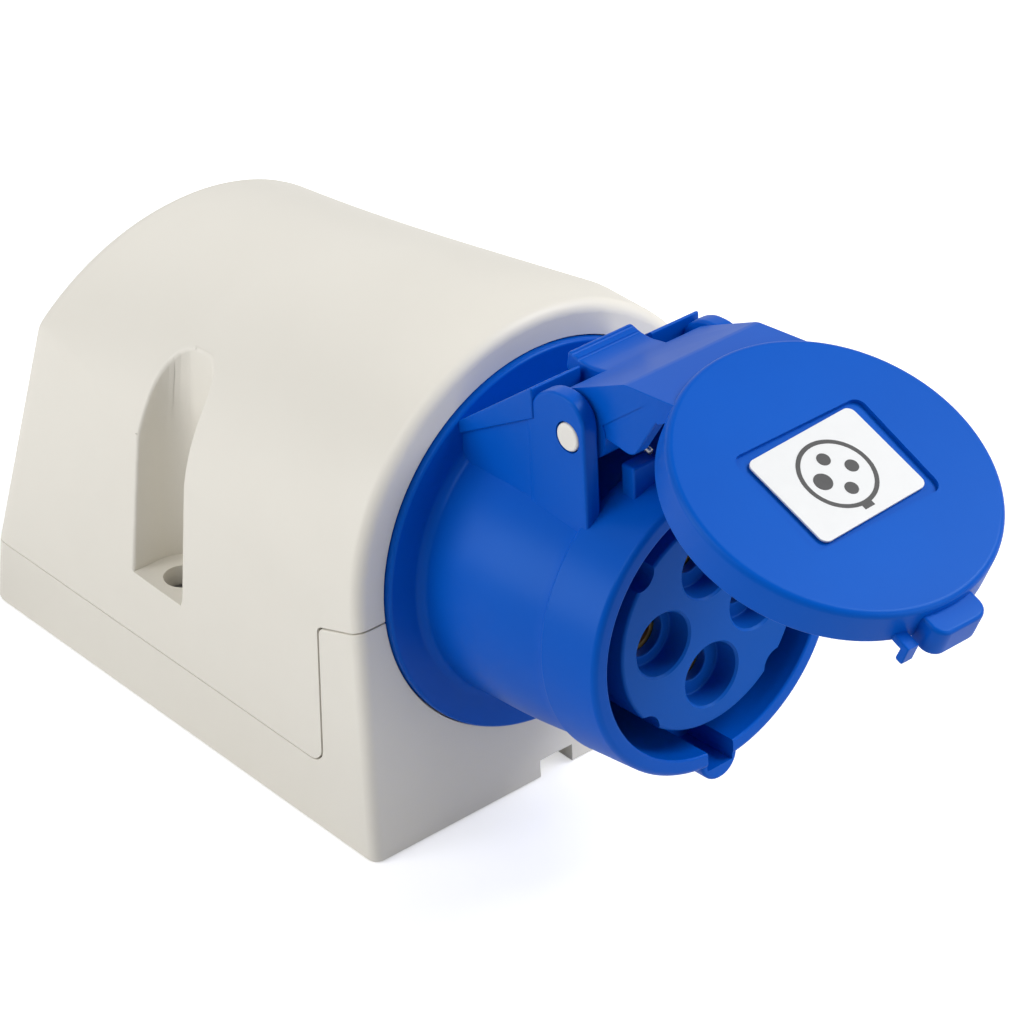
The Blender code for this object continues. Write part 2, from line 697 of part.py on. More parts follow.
ramp_foot = FLANGE_FRONT - 0.0004
ramp = [
    (ramp_foot, RAMP_FOOT_UP - RAMP_THICKNESS),
    (ramp_foot, RAMP_FOOT_UP),
    (RAMP_END - 0.001, RAMP_END_UP),
    (RAMP_END, RAMP_END_UP - 0.0006),
    (RAMP_END, RAMP_END_UP - RAMP_THICKNESS),
]
gusset = [
    (ramp_foot, EAR_ROOT),
    (ramp_foot, RAMP_FOOT_UP - RAMP_THICKNESS / 2),
    (RAMP_END, RAMP_END_UP - RAMP_THICKNESS / 2),
    (RAMP_END, EAR_ROOT),
]
recess = [
    (LEVER_RECESS_START, LEVER_RECESS_UP),
    (LEVER_RECESS_START, RAMP_END_UP),
    (RAMP_END + 0.001, RAMP_END_UP + 0.005),
    (RAMP_END + 0.001, LEVER_RECESS_UP),
]
ear = rounded([
    (EAR_FRONT, EAR_ROOT),
    (EAR_FRONT, EAR_TOP, 0.005),
    (EAR_BACK, EAR_TOP, 0.0062),
    (EAR_BACK - 0.003, RAMP_END_UP - 0.006),
    (EAR_BACK - 0.003, EAR_ROOT),
])
ears = [(side, extruded(ear, *sorted((side * EAR_INSIDE, side * EAR_OUTSIDE)), OUTLET_SIDE))
        for side in (-1, 1)]
webs = [
    ("gusset", extruded(gusset, -GUSSET_HALF_WIDTH, GUSSET_HALF_WIDTH, OUTLET_SIDE)),
    ("ramp", extruded(ramp, -RAMP_HALF_WIDTH, RAMP_HALF_WIDTH, OUTLET_SIDE)),
    ("ear_left", ears[1][1]),
    ("ear_right", ears[0][1]),
    ("spring_stop", box((-STOP_OUTER_X, TUBE_NECK_RADIUS - 0.006, STOP_START),
                        (-STOP_INNER_X, STOP_UP, STOP_END))),
    ("key_ridge", rod(KEY_RADIUS, KEY_BACK, RIM - GAP, 20, Matrix.Translation((0, -KEY_CENTRE, 0)))),
]
wall_middle = (SPIGOT_BORE + min(TUBE_NECK_RADIUS, RIM_RADIUS)) / 2
wall_room = mesh_object("cut_wall_room", rod(wall_middle, -FAR, FAR, 64), outlet)
room = extruded(recess, -LEVER_HALF_WIDTH - 0.001, LEVER_HALF_WIDTH + 0.001, OUTLET_SIDE)
lever_room = mesh_object("cut_lever_room", room, outlet)
for name, bm in webs:
    web = mesh_object(name, bm, outlet)
    cut(web, wall_room)
    if name in ("gusset", "ramp"):
        cut(web, lever_room)
    join(shroud, web)
keyway = box((-KEYWAY_HALF_WIDTH, -KEYWAY_REACH, KEY_BACK + 0.0015),
             (KEYWAY_HALF_WIDTH, -CORE_RADIUS, RIM + 0.002))
pin_axis = Matrix.Translation((0, HINGE_UP, HINGE_OUT)) @ ACROSS
pin_hole = rod(PIN_RADIUS + GAP, -FAR, FAR, 24, pin_axis)
cut(shroud,
    mesh_object("cut_keyway", keyway, outlet),
    mesh_object("cut_pin_hole", pin_hole, outlet))

turned("flange_gasket", [
    (FLANGE_RADIUS - 0.0006, -FLANGE_SEAT + GAP + FLANGE_GASKET),
    (FLANGE_RADIUS - 0.0006, -FLANGE_SEAT + GAP),
    (SPIGOT_RADIUS + 0.001, -FLANGE_SEAT + GAP),
    (SPIGOT_RADIUS + 0.001, -FLANGE_SEAT + GAP + FLANGE_GASKET),
], 32, True, outlet, SEAL_RUBBER)

# Insulator: a core with four wells, scalloped at its rim, and the carrier behind it
core = turned("socket_insulator", [
    (0.0, CORE_FACE),
    (CORE_RADIUS - 0.0006, CORE_FACE),
    (CORE_RADIUS, CORE_FACE - 0.0006),
    (CORE_RADIUS, CORE_BACK + CORE_FLANGE),
    (SPIGOT_BORE - GAP, CORE_BACK + CORE_FLANGE),
    (SPIGOT_BORE - GAP, CORE_BACK),
    (0.0, CORE_BACK),
], 48, False, outlet, DEEP_BLUE)
carrier = turned("terminal_carrier", [
    (0.0, CARRIER_FRONT),
    (SPIGOT_BORE - GAP, CARRIER_FRONT),
    (SPIGOT_BORE - GAP, SPIGOT_BACK + 0.001),
    (SPIGOT_BORE - GAP - 0.001, SPIGOT_BACK),
    (0.0, SPIGOT_BACK),
], 40, False, outlet, GREY)
for turn in (45, 135, 225, 315):
    angle = math.radians(turn)
    spot = Matrix.Translation((SCALLOP_PITCH * math.cos(angle), SCALLOP_PITCH * math.sin(angle), 0))
    scallop = rod(SCALLOP_RADIUS, CORE_FACE - SCALLOP_DEPTH, CORE_FACE + 0.001, 20, spot)
    cut(core, mesh_object("cut_scallop", scallop, outlet))

web_back = CORE_FACE - WELL_DEPTH - WEB
CONTACTS = (("l1", 90, SLEEVE_RADIUS, SLEEVE_BORE), ("l2", 0, SLEEVE_RADIUS, SLEEVE_BORE),
            ("l3", 270, SLEEVE_RADIUS, SLEEVE_BORE), ("earth", 180, EARTH_SLEEVE_RADIUS, EARTH_SLEEVE_BORE))
for name, turn, sleeve_radius, sleeve_bore in CONTACTS:
    angle = math.radians(turn)
    spot = Matrix.Translation((CONTACT_PITCH * math.cos(angle), CONTACT_PITCH * math.sin(angle), 0))
    aim = spot @ Matrix.Rotation(angle, 4, "Z")
    well = rod(WELL_RADIUS, CORE_FACE - WELL_DEPTH, CORE_FACE + 0.001, 24, spot)
    bore = rod(sleeve_bore + 0.0006, web_back - 0.001, CORE_FACE, 16, spot)
    barrel = rod(sleeve_radius + GAP, -0.02, web_back, 20, spot)
    tail = rod(TAIL_RADIUS + GAP, -0.02, 0.01, 12, spot)
    cut(core, mesh_object("cut_well_" + name, well, outlet),
        mesh_object("cut_bore_" + name, bore, outlet),
        mesh_object("cut_barrel_" + name, barrel, outlet))
    cut(carrier, mesh_object("cut_tail_" + name, tail, outlet))

    # Sleeve that grips a pin, its tail through the carrier and its terminal block behind it
    sleeve_back = CARRIER_FRONT + GAP
    contact = turned("contact_" + name, [
        (sleeve_bore, web_back - GAP),
        (sleeve_radius - 0.0004, web_back - GAP),
        (sleeve_radius, web_back - 0.001),
        (sleeve_radius, sleeve_back),
        (TAIL_RADIUS, sleeve_back),
        (TAIL_RADIUS, TERMINAL_FRONT - 0.002),
        (0.0, TERMINAL_FRONT - 0.002),
        (0.0, sleeve_back + 0.002),
        (sleeve_bore, sleeve_back + 0.002),
    ], 16, True, outlet, BRASS, tuple(spot.translation))
    half = TERMINAL_SIDE / 2
    block = box((-half, -half, TERMINAL_FRONT - TERMINAL_LENGTH), (half, half, TERMINAL_FRONT))
    block.transform(aim)
    join(contact, mesh_object("terminal_" + name, block, outlet))
    slit = box((-2 * SLEEVE_RADIUS, -SLEEVE_SLIT / 2, web_back - SLEEVE_SLIT_LENGTH),
               (2 * SLEEVE_RADIUS, SLEEVE_SLIT / 2, web_back + 0.001))
    slit.transform(aim)
    wire = rod(WIRE_HOLE_RADIUS, -FAR, TERMINAL_FRONT - 0.0025, 16, spot)
    screw_middle = TERMINAL_FRONT - TERMINAL_LENGTH / 2 - 0.001
    out = aim @ Matrix.Translation((0, 0, screw_middle)) @ ACROSS
    screw_room = rod(TERMINAL_SCREW_RADIUS + GAP, 0.0, 0.02, 16, out)
    cut(contact, mesh_object("cut_slit_" + name, slit, outlet),
        mesh_object("cut_wire_" + name, wire, outlet),
        mesh_object("cut_screw_" + name, screw_room, outlet))
    screw = mesh_object("terminal_screw_" + name,
                        rod(TERMINAL_SCREW_RADIUS, half - TERMINAL_SCREW_SINK + WIRE_HOLE_RADIUS - 0.0012,
                            half + TERMINAL_SCREW_HEAD, 16, out),
                        outlet, STEEL)
    notch = box((-SCREW_SLOT / 2, -0.01, half + TERMINAL_SCREW_HEAD - 0.0007),
                (SCREW_SLOT / 2, 0.01, half + TERMINAL_SCREW_HEAD + 0.001))
    notch.transform(out)
    cut(screw, mesh_object("cut_notch_" + name, notch, outlet))

# Lid: a shallow cap with a hood over the hinge, a lever, cheeks, a lug and a tab
skirt_inside = LID_RADIUS - LID_SKIRT_WALL
rib_outside = SEAL_INNER_RADIUS - GAP
lid = turned("lid", [
    (0.0, LID_TOP),
    (LID_RADIUS - LID_EDGE_ROUND, LID_TOP),
    (LID_RADIUS - LID_EDGE_ROUND * 0.3, LID_TOP - LID_EDGE_ROUND * 0.3),
    (LID_RADIUS, LID_TOP - LID_EDGE_ROUND),
    (LID_RADIUS, LID_BOTTOM),
    (skirt_inside, LID_BOTTOM),
    (skirt_inside, LID_TOP - LID_PLATE),
    (rib_outside, LID_TOP - LID_PLATE),
    (rib_outside, LID_TOP - LID_PLATE - RIB_HEIGHT),
    (rib_outside - RIB_WIDTH, LID_TOP - LID_PLATE - RIB_HEIGHT),
    (rib_outside - RIB_WIDTH, LID_TOP - LID_PLATE),
    (0.0, LID_TOP - LID_PLATE),
], 52, False, hinge, BLUE, (0, LID_CENTRE, 0))

hood = arc((0, 0), FACET_DISTANCE, FACET_ANGLE, math.radians(190), 10)
hood += arc((0, 0), BARREL_RADIUS, math.radians(200), math.radians(325), 8)
hood += [
    (LID_BOTTOM + 0.0002, HOOD_FOOT_BACK),
    (LID_BOTTOM + 0.0002, HOOD_FOOT_FRONT),
    (LID_TOP - HOOD_NOSE_DROP, HOOD_NOSE),
    FACET_END,
]
hood += rounded([FACET_END, (*CREASE, CREASE_ROUND), hood[0]], 4)[1:-1]
bm = extruded(hood, -HOOD_HALF_WIDTH, HOOD_HALF_WIDTH, OUTLET_SIDE)


def is_hood_edge(a, b):
    """Outer edge of the hood, along its facets and the top of its barrel."""
    on_side = all(abs(abs(v.co.x) - HOOD_HALF_WIDTH) < 1e-6 for v in (a, b))
    above = all(v.co.y > FACET_END[1] - 1e-6 and v.co.z + v.co.y > HOOD_ROUND_FROM for v in (a, b))
    return on_side and above and abs(a.co.x - b.co.x) < 1e-6


bevel_where(bm, is_hood_edge, HOOD_EDGE_ROUND, 3)
hood_body = mesh_object("hood", bm, hinge)
disc_place = Matrix.Translation((0, LID_CENTRE, 0))
lid_room = rod(skirt_inside + GAP, -0.02, LID_TOP - LID_PLATE, 64, disc_place)
cut(hood_body, mesh_object("cut_lid_room", lid_room, hinge))
join(lid, hood_body)
tooth = rounded([
    TOOTH_ROOT,
    TOOTH_BACK,
    (*TOOTH_TIP, TOOTH_ROUND),
    (*TOOTH_SLOT_END, TOOTH_SLOT_ROUND),
    (TOOTH_SLOT_END[0], TOOTH_SLOT_TOP),
], 5)
for name, side in (("left", -1), ("right", 1)):
    low, high = sorted((side * (HOOD_HALF_WIDTH - CHEEK), side * (HOOD_HALF_WIDTH - 0.0002)))
    join(lid, mesh_object("tooth_" + name, extruded(tooth, -high, -low, OUTLET_SIDE), hinge))
lever = [
    LEVER_TOP_BACK,
    LEVER_TOP_FRONT,
    LEVER_FOOT_FRONT,
    LEVER_ROOT_FRONT,
    LEVER_ROOT_BACK,
    LEVER_FOOT_BACK,
]
bm = extruded(lever, -LEVER_HALF_WIDTH, LEVER_HALF_WIDTH, OUTLET_SIDE)
join(lid, mesh_object("lever", bm, hinge))
lug_top = LID_TOP - LUG_TOP_DROP
lug_foot = LID_TOP - LUG_BOTTOM_DROP
lug = rounded([
    (-LUG_HALF_WIDTH, -LUG_REACH, LUG_ROUND),
    (LUG_HALF_WIDTH, -LUG_REACH, LUG_ROUND),
    (LUG_HALF_WIDTH, -skirt_inside - 0.0005),
    (-LUG_HALF_WIDTH, -skirt_inside - 0.0005),
])
lug_body = mesh_object("lug", extruded(lug, lug_foot, lug_top, disc_place), hinge)
rim_room = rod(RIM_RADIUS + GAP, lug_foot - 0.001, LID_BOTTOM, 64, disc_place)
cut(lug_body, mesh_object("cut_rim_room", rim_room, hinge))
join(lid, lug_body)
tab_top = LID_BOTTOM + TAB_ROOT
tab_out = LID_CENTRE - TAB_REACH
tab = [
    (LID_TOP - TAB_DROP, tab_out),
    (tab_top, tab_out),
    (tab_top, LID_CENTRE - skirt_inside + 0.0007),
    (LID_BOTTOM + GAP, LID_CENTRE - skirt_inside + 0.0007),
    (LID_BOTTOM + GAP, tab_out + TAB_THICKNESS),
    (LID_TOP - TAB_DROP, tab_out + TAB_THICKNESS),
]
bm = extruded(tab, -TAB_X - TAB_HALF_WIDTH, -TAB_X + TAB_HALF_WIDTH, OUTLET_SIDE)
join(lid, mesh_object("tab", bm, hinge))

# Hollows of the lid: key room, hinge window, hood pocket, pin bore, label recess and lever grooves
key_room = extruded(rounded([
    (-LUG_HALF_WIDTH + LUG_WALL, -LUG_REACH + LUG_WALL, LUG_ROOM_ROUND),
    (LUG_HALF_WIDTH - LUG_WALL, -LUG_REACH + LUG_WALL, LUG_ROOM_ROUND),
    (LUG_HALF_WIDTH - LUG_WALL, -skirt_inside),
    (-LUG_HALF_WIDTH + LUG_WALL, -skirt_inside),
]), lug_foot - 0.001, LID_BOTTOM, disc_place)
room_half = COIL_HALF_LENGTH + 0.0016


def ceiling(outward):
    """Underside of the hood's first facet, one skin below it."""
    distance = FACET_DISTANCE - HOOD_SKIN
    return (outward, (distance - outward * math.cos(FACET_ANGLE)) / math.sin(FACET_ANGLE))


window = rod(BARREL_RADIUS - 0.0002, -room_half, room_half, 24, ACROSS)
window_down = box((-room_half, -WINDOW_DEPTH, -WINDOW_DEPTH), (room_half, 0.0, WINDOW_BACK))
pocket = [
    ceiling(0.0015),
    ceiling(CREASE[0] - HOOD_SKIN),
    (LID_BOTTOM - 0.0016, -WINDOW_DEPTH),
    (0.0015, -WINDOW_DEPTH),
]
recess_plan = rounded([
    (-LABEL_RECESS_HALF_WIDTH, -LABEL_RECESS_HALF_HEIGHT, 0.002),
    (LABEL_RECESS_HALF_WIDTH, -LABEL_RECESS_HALF_HEIGHT, 0.002),
    (LABEL_RECESS_HALF_WIDTH, LABEL_RECESS_HALF_HEIGHT, 0.002),
    (-LABEL_RECESS_HALF_WIDTH, LABEL_RECESS_HALF_HEIGHT, 0.002),
])
cut(lid,
    mesh_object("cut_key_room", key_room, hinge),
    mesh_object("cut_window", window, hinge),
    mesh_object("cut_window_down", window_down, hinge),
    mesh_object("cut_hood_pocket", extruded(pocket, -room_half, room_half, OUTLET_SIDE), hinge),
    mesh_object("cut_pin_bore", rod(PIN_RADIUS + GAP, -FAR, FAR, 24, ACROSS), hinge),
    mesh_object("cut_label_recess",
                extruded(recess_plan, LID_TOP - LABEL_RECESS_DEPTH, LID_TOP + 0.001, disc_place), hinge))
for share in (0.35, 0.7):
    up = LEVER_TOP_FRONT[1] + share * (LEVER_TOP_BACK[1] - LEVER_TOP_FRONT[1])
    out = LEVER_TOP_FRONT[0] + share * (LEVER_TOP_BACK[0] - LEVER_TOP_FRONT[0])
    groove_bar = rod(LEVER_GROOVE, -FAR, FAR, 8, Matrix.Translation((0, up, out + 0.0002)) @ ACROSS)
    cut(lid, mesh_object("cut_lever_groove", groove_bar, hinge))

turned("lid_seal", [
    (SEAL_INNER_RADIUS, LID_TOP - LID_PLATE - GAP),
    (SEAL_OUTER_RADIUS, LID_TOP - LID_PLATE - GAP),
    (SEAL_OUTER_RADIUS, LID_BOTTOM + SEAL_LIP),
    (SEAL_OUTER_RADIUS - SEAL_LIP, LID_BOTTOM),
    (SEAL_INNER_RADIUS + SEAL_LIP, LID_BOTTOM),
    (SEAL_INNER_RADIUS, LID_BOTTOM + SEAL_LIP),
], 32, True, hinge, SEAL_RUBBER, (0, LID_CENTRE, 0))

label_plan = rounded([
    (-LABEL_HALF_WIDTH, -LABEL_HALF_HEIGHT, LABEL_CORNER),
    (LABEL_HALF_WIDTH, -LABEL_HALF_HEIGHT, LABEL_CORNER),
    (LABEL_HALF_WIDTH, LABEL_HALF_HEIGHT, LABEL_CORNER),
    (-LABEL_HALF_WIDTH, LABEL_HALF_HEIGHT, LABEL_CORNER),
])
label_foot = LID_TOP - LABEL_RECESS_DEPTH + GAP
mesh_object("lid_label",
            extruded(label_plan, label_foot, label_foot + LABEL_THICKNESS,
                     disc_place @ Matrix.Rotation(LABEL_TURN, 4, "Z")),
            hinge, LABEL)

# Hinge pin through both ears and the lid's barrel
mesh_object("hinge_pin", rod(PIN_RADIUS, -EAR_OUTSIDE - 0.0002, EAR_OUTSIDE + 0.0002, 24, pin_axis),
            outlet, WHITE)

# Torsion spring: from its stop on the tube, round the pin, to the underside of the hood
turns_start = math.radians(270)
turns_end = FACET_ANGLE + LID_OPEN - 2 * math.pi * COIL_TURNS
count = 8 * COIL_TURNS
coil = [(-COIL_HALF_LENGTH, STOP_LEG[0], STOP_LEG[1])]
for k in range(count + 1):
    angle = turns_start + (turns_end - turns_start) * k / count
    across = -COIL_HALF_LENGTH + 2 * COIL_HALF_LENGTH * k / count
    coil.append((across, COIL_RADIUS * math.cos(angle), COIL_RADIUS * math.sin(angle)))
leg = (math.sin(turns_end), -math.cos(turns_end))
coil.append((COIL_HALF_LENGTH, coil[-1][1] + LEG_LENGTH * leg[0], coil[-1][2] + LEG_LENGTH * leg[1]))
curve = bpy.data.curves.new("lid_spring_wire", "CURVE")
curve.dimensions = "3D"
curve.bevel_depth = WIRE_RADIUS
curve.bevel_resolution = 1
curve.use_fill_caps = True
spline = curve.splines.new("POLY")
spline.points.add(len(coil) - 1)
for point, (across, outward, up) in zip(spline.points, coil):
    point.co = (across, HINGE_UP + up, HINGE_OUT + outward, 1.0)
spring = bpy.data.objects.new("lid_spring", curve)
curve.materials.append(STEEL)
parts.objects.link(spring)
spring.parent = outlet
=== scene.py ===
"""Industrial wall socket: the finished look of its CAD frame.

An angled cream housing that lies on its wall face, with a blue four-pole outlet on its front and a
sprung lid that stands open. Metres, +Z out of the wall, and the outlet faces -Y.
"""
import math

import bmesh
import bpy
from mathutils import Matrix, Vector


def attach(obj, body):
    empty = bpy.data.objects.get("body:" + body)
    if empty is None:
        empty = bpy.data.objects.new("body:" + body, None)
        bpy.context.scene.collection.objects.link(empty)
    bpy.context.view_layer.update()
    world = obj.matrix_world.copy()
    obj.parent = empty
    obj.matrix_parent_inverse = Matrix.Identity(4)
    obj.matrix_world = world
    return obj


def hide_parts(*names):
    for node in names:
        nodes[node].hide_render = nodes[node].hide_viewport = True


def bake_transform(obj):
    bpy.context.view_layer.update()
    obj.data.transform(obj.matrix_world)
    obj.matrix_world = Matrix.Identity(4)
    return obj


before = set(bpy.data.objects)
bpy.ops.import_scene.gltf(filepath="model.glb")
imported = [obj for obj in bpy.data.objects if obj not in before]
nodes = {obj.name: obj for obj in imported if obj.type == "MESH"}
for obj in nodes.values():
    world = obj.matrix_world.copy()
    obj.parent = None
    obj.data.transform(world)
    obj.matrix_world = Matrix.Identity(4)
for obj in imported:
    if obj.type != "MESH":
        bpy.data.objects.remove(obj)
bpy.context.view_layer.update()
scene = bpy.context.scene

# Camera: a long lens that looks down on the outlet from its upper left, as the photograph was taken. Its
# focal length was fitted in pixels of a frame 1024 wide.
picture_width = 1024
focal_pixels = 4301.6
roll = math.radians(-0.45)
camera_data = bpy.data.cameras.new("camera")
camera_data.sensor_width = 36.0
camera_data.lens = focal_pixels / picture_width * camera_data.sensor_width
camera_data.clip_end = 20.0
camera = bpy.data.objects.new("camera", camera_data)
scene.collection.objects.link(camera)
scene.camera = camera
view_from = Vector((-0.4252, -0.5334, 0.4695))
view_to = Vector((0.0187, -0.0251, 0.0321))
aim = (view_to - view_from).to_track_quat("-Z", "Y").to_matrix().to_4x4()
camera.matrix_world = Matrix.Translation(view_from) @ aim @ Matrix.Rotation(roll, 4, "Z")

# Base tray: a cream injection moulding that lies on the wall, with a pillar in front that carries the
# lower half of the outlet's seat. Its walls are 3 mm. It has slotted holes for the wall's screws, a boss
# for each cover screw and a drain notch.
def plate(corners, low, high, turn=None, rim=0.0):
    """Bmesh of a flat outline between two heights. A corner is (x, y) or (x, y, softness)."""
    bm = bmesh.new()
    made = [bm.verts.new((corner[0], corner[1], low)) for corner in corners]
    face = bm.faces.new(made)
    for vert, corner in zip(made, corners):
        if len(corner) > 2:
            bmesh.ops.bevel(bm, geom=[vert], offset=corner[2], offset_type="OFFSET", segments=8,
                            profile=0.5, affect="VERTICES", material=-1)
    grown = bmesh.ops.extrude_face_region(bm, geom=list(bm.faces))
    bmesh.ops.translate(bm, vec=(0, 0, high - low),
                        verts=[item for item in grown["geom"] if isinstance(item, bmesh.types.BMVert)])
    bmesh.ops.recalc_face_normals(bm, faces=bm.faces)
    if rim:
        rims = [edge for edge in bm.edges if abs(edge.verts[0].co.z - edge.verts[1].co.z) < 1e-7]
        bmesh.ops.bevel(bm, geom=rims, offset=rim, offset_type="OFFSET", segments=3, profile=0.5,
                        affect="EDGES", clamp_overlap=True, material=-1)
    if turn:
        bm.transform(turn)
    if bm.calc_volume(signed=True) < 0:
        bmesh.ops.reverse_faces(bm, faces=bm.faces)
    bm.normal_update()
    return bm


def drum(radius, low, high, turn=None, steps=96):
    """Bmesh of a plain round cutter along Z."""
    bm = bmesh.new()
    bmesh.ops.create_cone(bm, cap_ends=True, segments=steps, radius1=radius, radius2=radius,
                          depth=high - low, matrix=Matrix.Translation((0, 0, (low + high) / 2)))
    if turn:
        bm.transform(turn)
    return bm


def block(low, high, turn=None):
    """Bmesh of a plain square cutter between two corners."""
    middle = (Vector(low) + Vector(high)) / 2
    size = Vector(high) - Vector(low)
    bm = bmesh.new()
    bmesh.ops.create_cube(bm, size=1.0, matrix=Matrix.Translation(middle) @ Matrix.Diagonal((*size, 1.0)))
    if turn:
        bm.transform(turn)
    return bm


def moulding(name, bm):
    """Puts a bmesh in the scene as a piece."""
    mesh = bpy.data.meshes.new(name)
    bm.to_mesh(mesh)
    bm.free()
    piece = bpy.data.objects.new(name, mesh)
    scene.collection.objects.link(piece)
    return piece


def shaped(piece, bm, operation="DIFFERENCE"):
    """Cuts a bmesh out of a piece, or joins it on, and keeps the result as the piece's mesh."""
    tool = moulding("tool", bm)
    step = piece.modifiers.new("shape", "BOOLEAN")
    step.operation = operation
    step.solver = "EXACT"
    step.object = tool
    graph = bpy.context.evaluated_depsgraph_get()
    done = bpy.data.meshes.new_from_object(piece.evaluated_get(graph))
    piece.modifiers.clear()
    old = piece.data
    piece.data = done
    bpy.data.meshes.remove(old)
    bpy.data.objects.remove(tool, do_unlink=True)


def faired(piece, angle=32.0):
    """Cleans the cuts, smooths the curved faces and leaves the real edges crisp."""
    bm = bmesh.new()
    bm.from_mesh(piece.data)
    bmesh.ops.dissolve_degenerate(bm, dist=2e-6, edges=bm.edges)
    bmesh.ops.triangulate(bm, faces=[face for face in bm.faces if len(face.verts) > 4],
                          quad_method="BEAUTY", ngon_method="EAR_CLIP")
    bm.to_mesh(piece.data)
    bm.free()
    piece.data.shade_smooth()
    piece.data.set_sharp_from_angle(angle=math.radians(angle))
    weights = piece.modifiers.new("face_weights", "WEIGHTED_NORMAL")
    weights.keep_sharp = True
    weights.mode = "FACE_AREA_WITH_ANGLE"


def dressed(piece, material):
    """Gives a piece its one material."""
    piece.data.materials.clear()
    piece.data.materials.append(material)


half_width = 0.0434
half_length = 0.0585
rim_height = 0.0143
front_lean = math.radians(3.5)
back_lean = math.radians(8.0)
front_round = 0.0022
back_round = 0.004
wall = 0.003
front_wall = 0.0045
side_view = Matrix(((0, 0, 1, 0), (1, 0, 0, 0), (0, 1, 0, 0), (0, 0, 0, 1)))


def front_y(height):
    return -half_length + height * math.tan(front_lean)


def back_y(height):
    return half_length - height * math.tan(back_lean)


pillar_back = -0.0444
pillar_back_height = 0.044
pillar_front_height = 0.048
bm = plate([
    (front_y(0), 0),
    (back_y(0), 0),
    (back_y(rim_height), rim_height),
    (pillar_back, rim_height, 0.0035),
    (pillar_back, pillar_back_height, 0.0012),
    (front_y(pillar_front_height), pillar_front_height),
], -half_width, half_width, side_view)
front_corners = [edge for edge in bm.edges
                 if abs(edge.verts[0].co.x - edge.verts[1].co.x) < 1e-7
                 and all(vert.co.y < front_y(vert.co.z) + 1e-5 for vert in edge.verts)]
bmesh.ops.bevel(bm, geom=front_corners, offset=front_round, offset_type="OFFSET", segments=6,
                profile=0.5, affect="EDGES", material=-1)
back_corners = [edge for edge in bm.edges
                if abs(edge.verts[0].co.x - edge.verts[1].co.x) < 1e-7
                and all(vert.co.y > back_y(vert.co.z) - 1e-5 for vert in edge.verts)]
bmesh.ops.bevel(bm, geom=back_corners, offset=back_round, offset_type="OFFSET", segments=8,
                profile=0.5, affect="EDGES", material=-1)
crisp = [edge for edge in bm.edges if edge.calc_face_angle(0) > math.radians(40)]
bmesh.ops.bevel(bm, geom=crisp, offset=0.0003, offset_type="OFFSET", segments=2, profile=0.5,
                affect="EDGES", clamp_overlap=True, material=-1)
base_tray = moulding("base_tray", bm)

outlet_height = 0.0505
outlet = (Matrix.Translation((0, front_y(outlet_height), outlet_height))
          @ Matrix.Rotation(math.radians(90) - front_lean, 4, "X"))
hall = half_width - wall
above = 0.2
shaped(base_tray, plate([
    (front_y(wall) + front_wall, wall),
    (back_y(wall) - wall, wall),
    (back_y(above) - wall, above),
    (front_y(above) + front_wall, above),
], -hall, hall, side_view))
outlet_bore = 0.0297
flange_room = 0.0373
flange_seat = -0.002
shaped(base_tray, drum(outlet_bore, -0.02, 0.02, outlet))
shaped(base_tray, drum(flange_room, flange_seat, 0.02, outlet, 144))
notch_half = 0.0039
notch_top = 0.0037
shaped(base_tray, block((-notch_half, -0.1, -0.01), (notch_half, front_y(0) + 0.0055, notch_top)))
screw_x = 0.0362
screw_y = 0.0046
boss_radius = 0.0048
insert_radius = 0.0033
insert_foot = 0.0057
for side in (-1, 1):
    spot = Matrix.Translation((side * screw_x, screw_y, 0))
    shaped(base_tray, drum(boss_radius, 0.0015, rim_height, spot, 48), "UNION")
    shaped(base_tray, drum(insert_radius, insert_foot, 0.03, spot, 48))
slot_half_length = 0.0064
slot_half_width = 0.0024
for x in (-0.029, 0.029):
    for y in (-0.040, 0.040):
        shaped(base_tray, plate([
            (x - slot_half_length, y - slot_half_width, 0.0023),
            (x + slot_half_length, y - slot_half_width, 0.0023),
            (x + slot_half_length, y + slot_half_width, 0.0023),
            (x - slot_half_length, y + slot_half_width, 0.0023),
        ], -0.01, 0.004))
faired(base_tray)

cream = bpy.data.materials.new("cream_plastic")
cream.use_nodes = True
tree = cream.node_tree
finish = tree.nodes["Principled BSDF"]
finish.inputs["Roughness"].default_value = 0.42
finish.inputs["Specular IOR Level"].default_value = 0.35
place = tree.nodes.new("ShaderNodeTexCoord")
cloud = tree.nodes.new("ShaderNodeTexNoise")
cloud.inputs["Scale"].default_value = 28.0
cloud.inputs["Detail"].default_value = 4.0
tones = tree.nodes.new("ShaderNodeValToRGB")
tones.color_ramp.elements[0].position = 0.3
tones.color_ramp.elements[0].color = (0.765, 0.735, 0.665, 1)
tones.color_ramp.elements[1].position = 0.7
tones.color_ramp.elements[1].color = (0.785, 0.757, 0.688, 1)
grain = tree.nodes.new("ShaderNodeTexNoise")
grain.inputs["Scale"].default_value = 2600.0
grain.inputs["Detail"].default_value = 2.0
relief = tree.nodes.new("ShaderNodeBump")
relief.inputs["Strength"].default_value = 0.12
relief.inputs["Distance"].default_value = 0.00008
tree.links.new(place.outputs["Object"], cloud.inputs["Vector"])
tree.links.new(place.outputs["Object"], grain.inputs["Vector"])
tree.links.new(cloud.outputs["Fac"], tones.inputs["Fac"])
tree.links.new(tones.outputs["Color"], finish.inputs["Base Color"])
tree.links.new(grain.outputs["Fac"], relief.inputs["Height"])
tree.links.new(relief.outputs["Normal"], finish.inputs["Normal"])
dressed(base_tray, cream)
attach(base_tray, "housing")
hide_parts("housing_base")

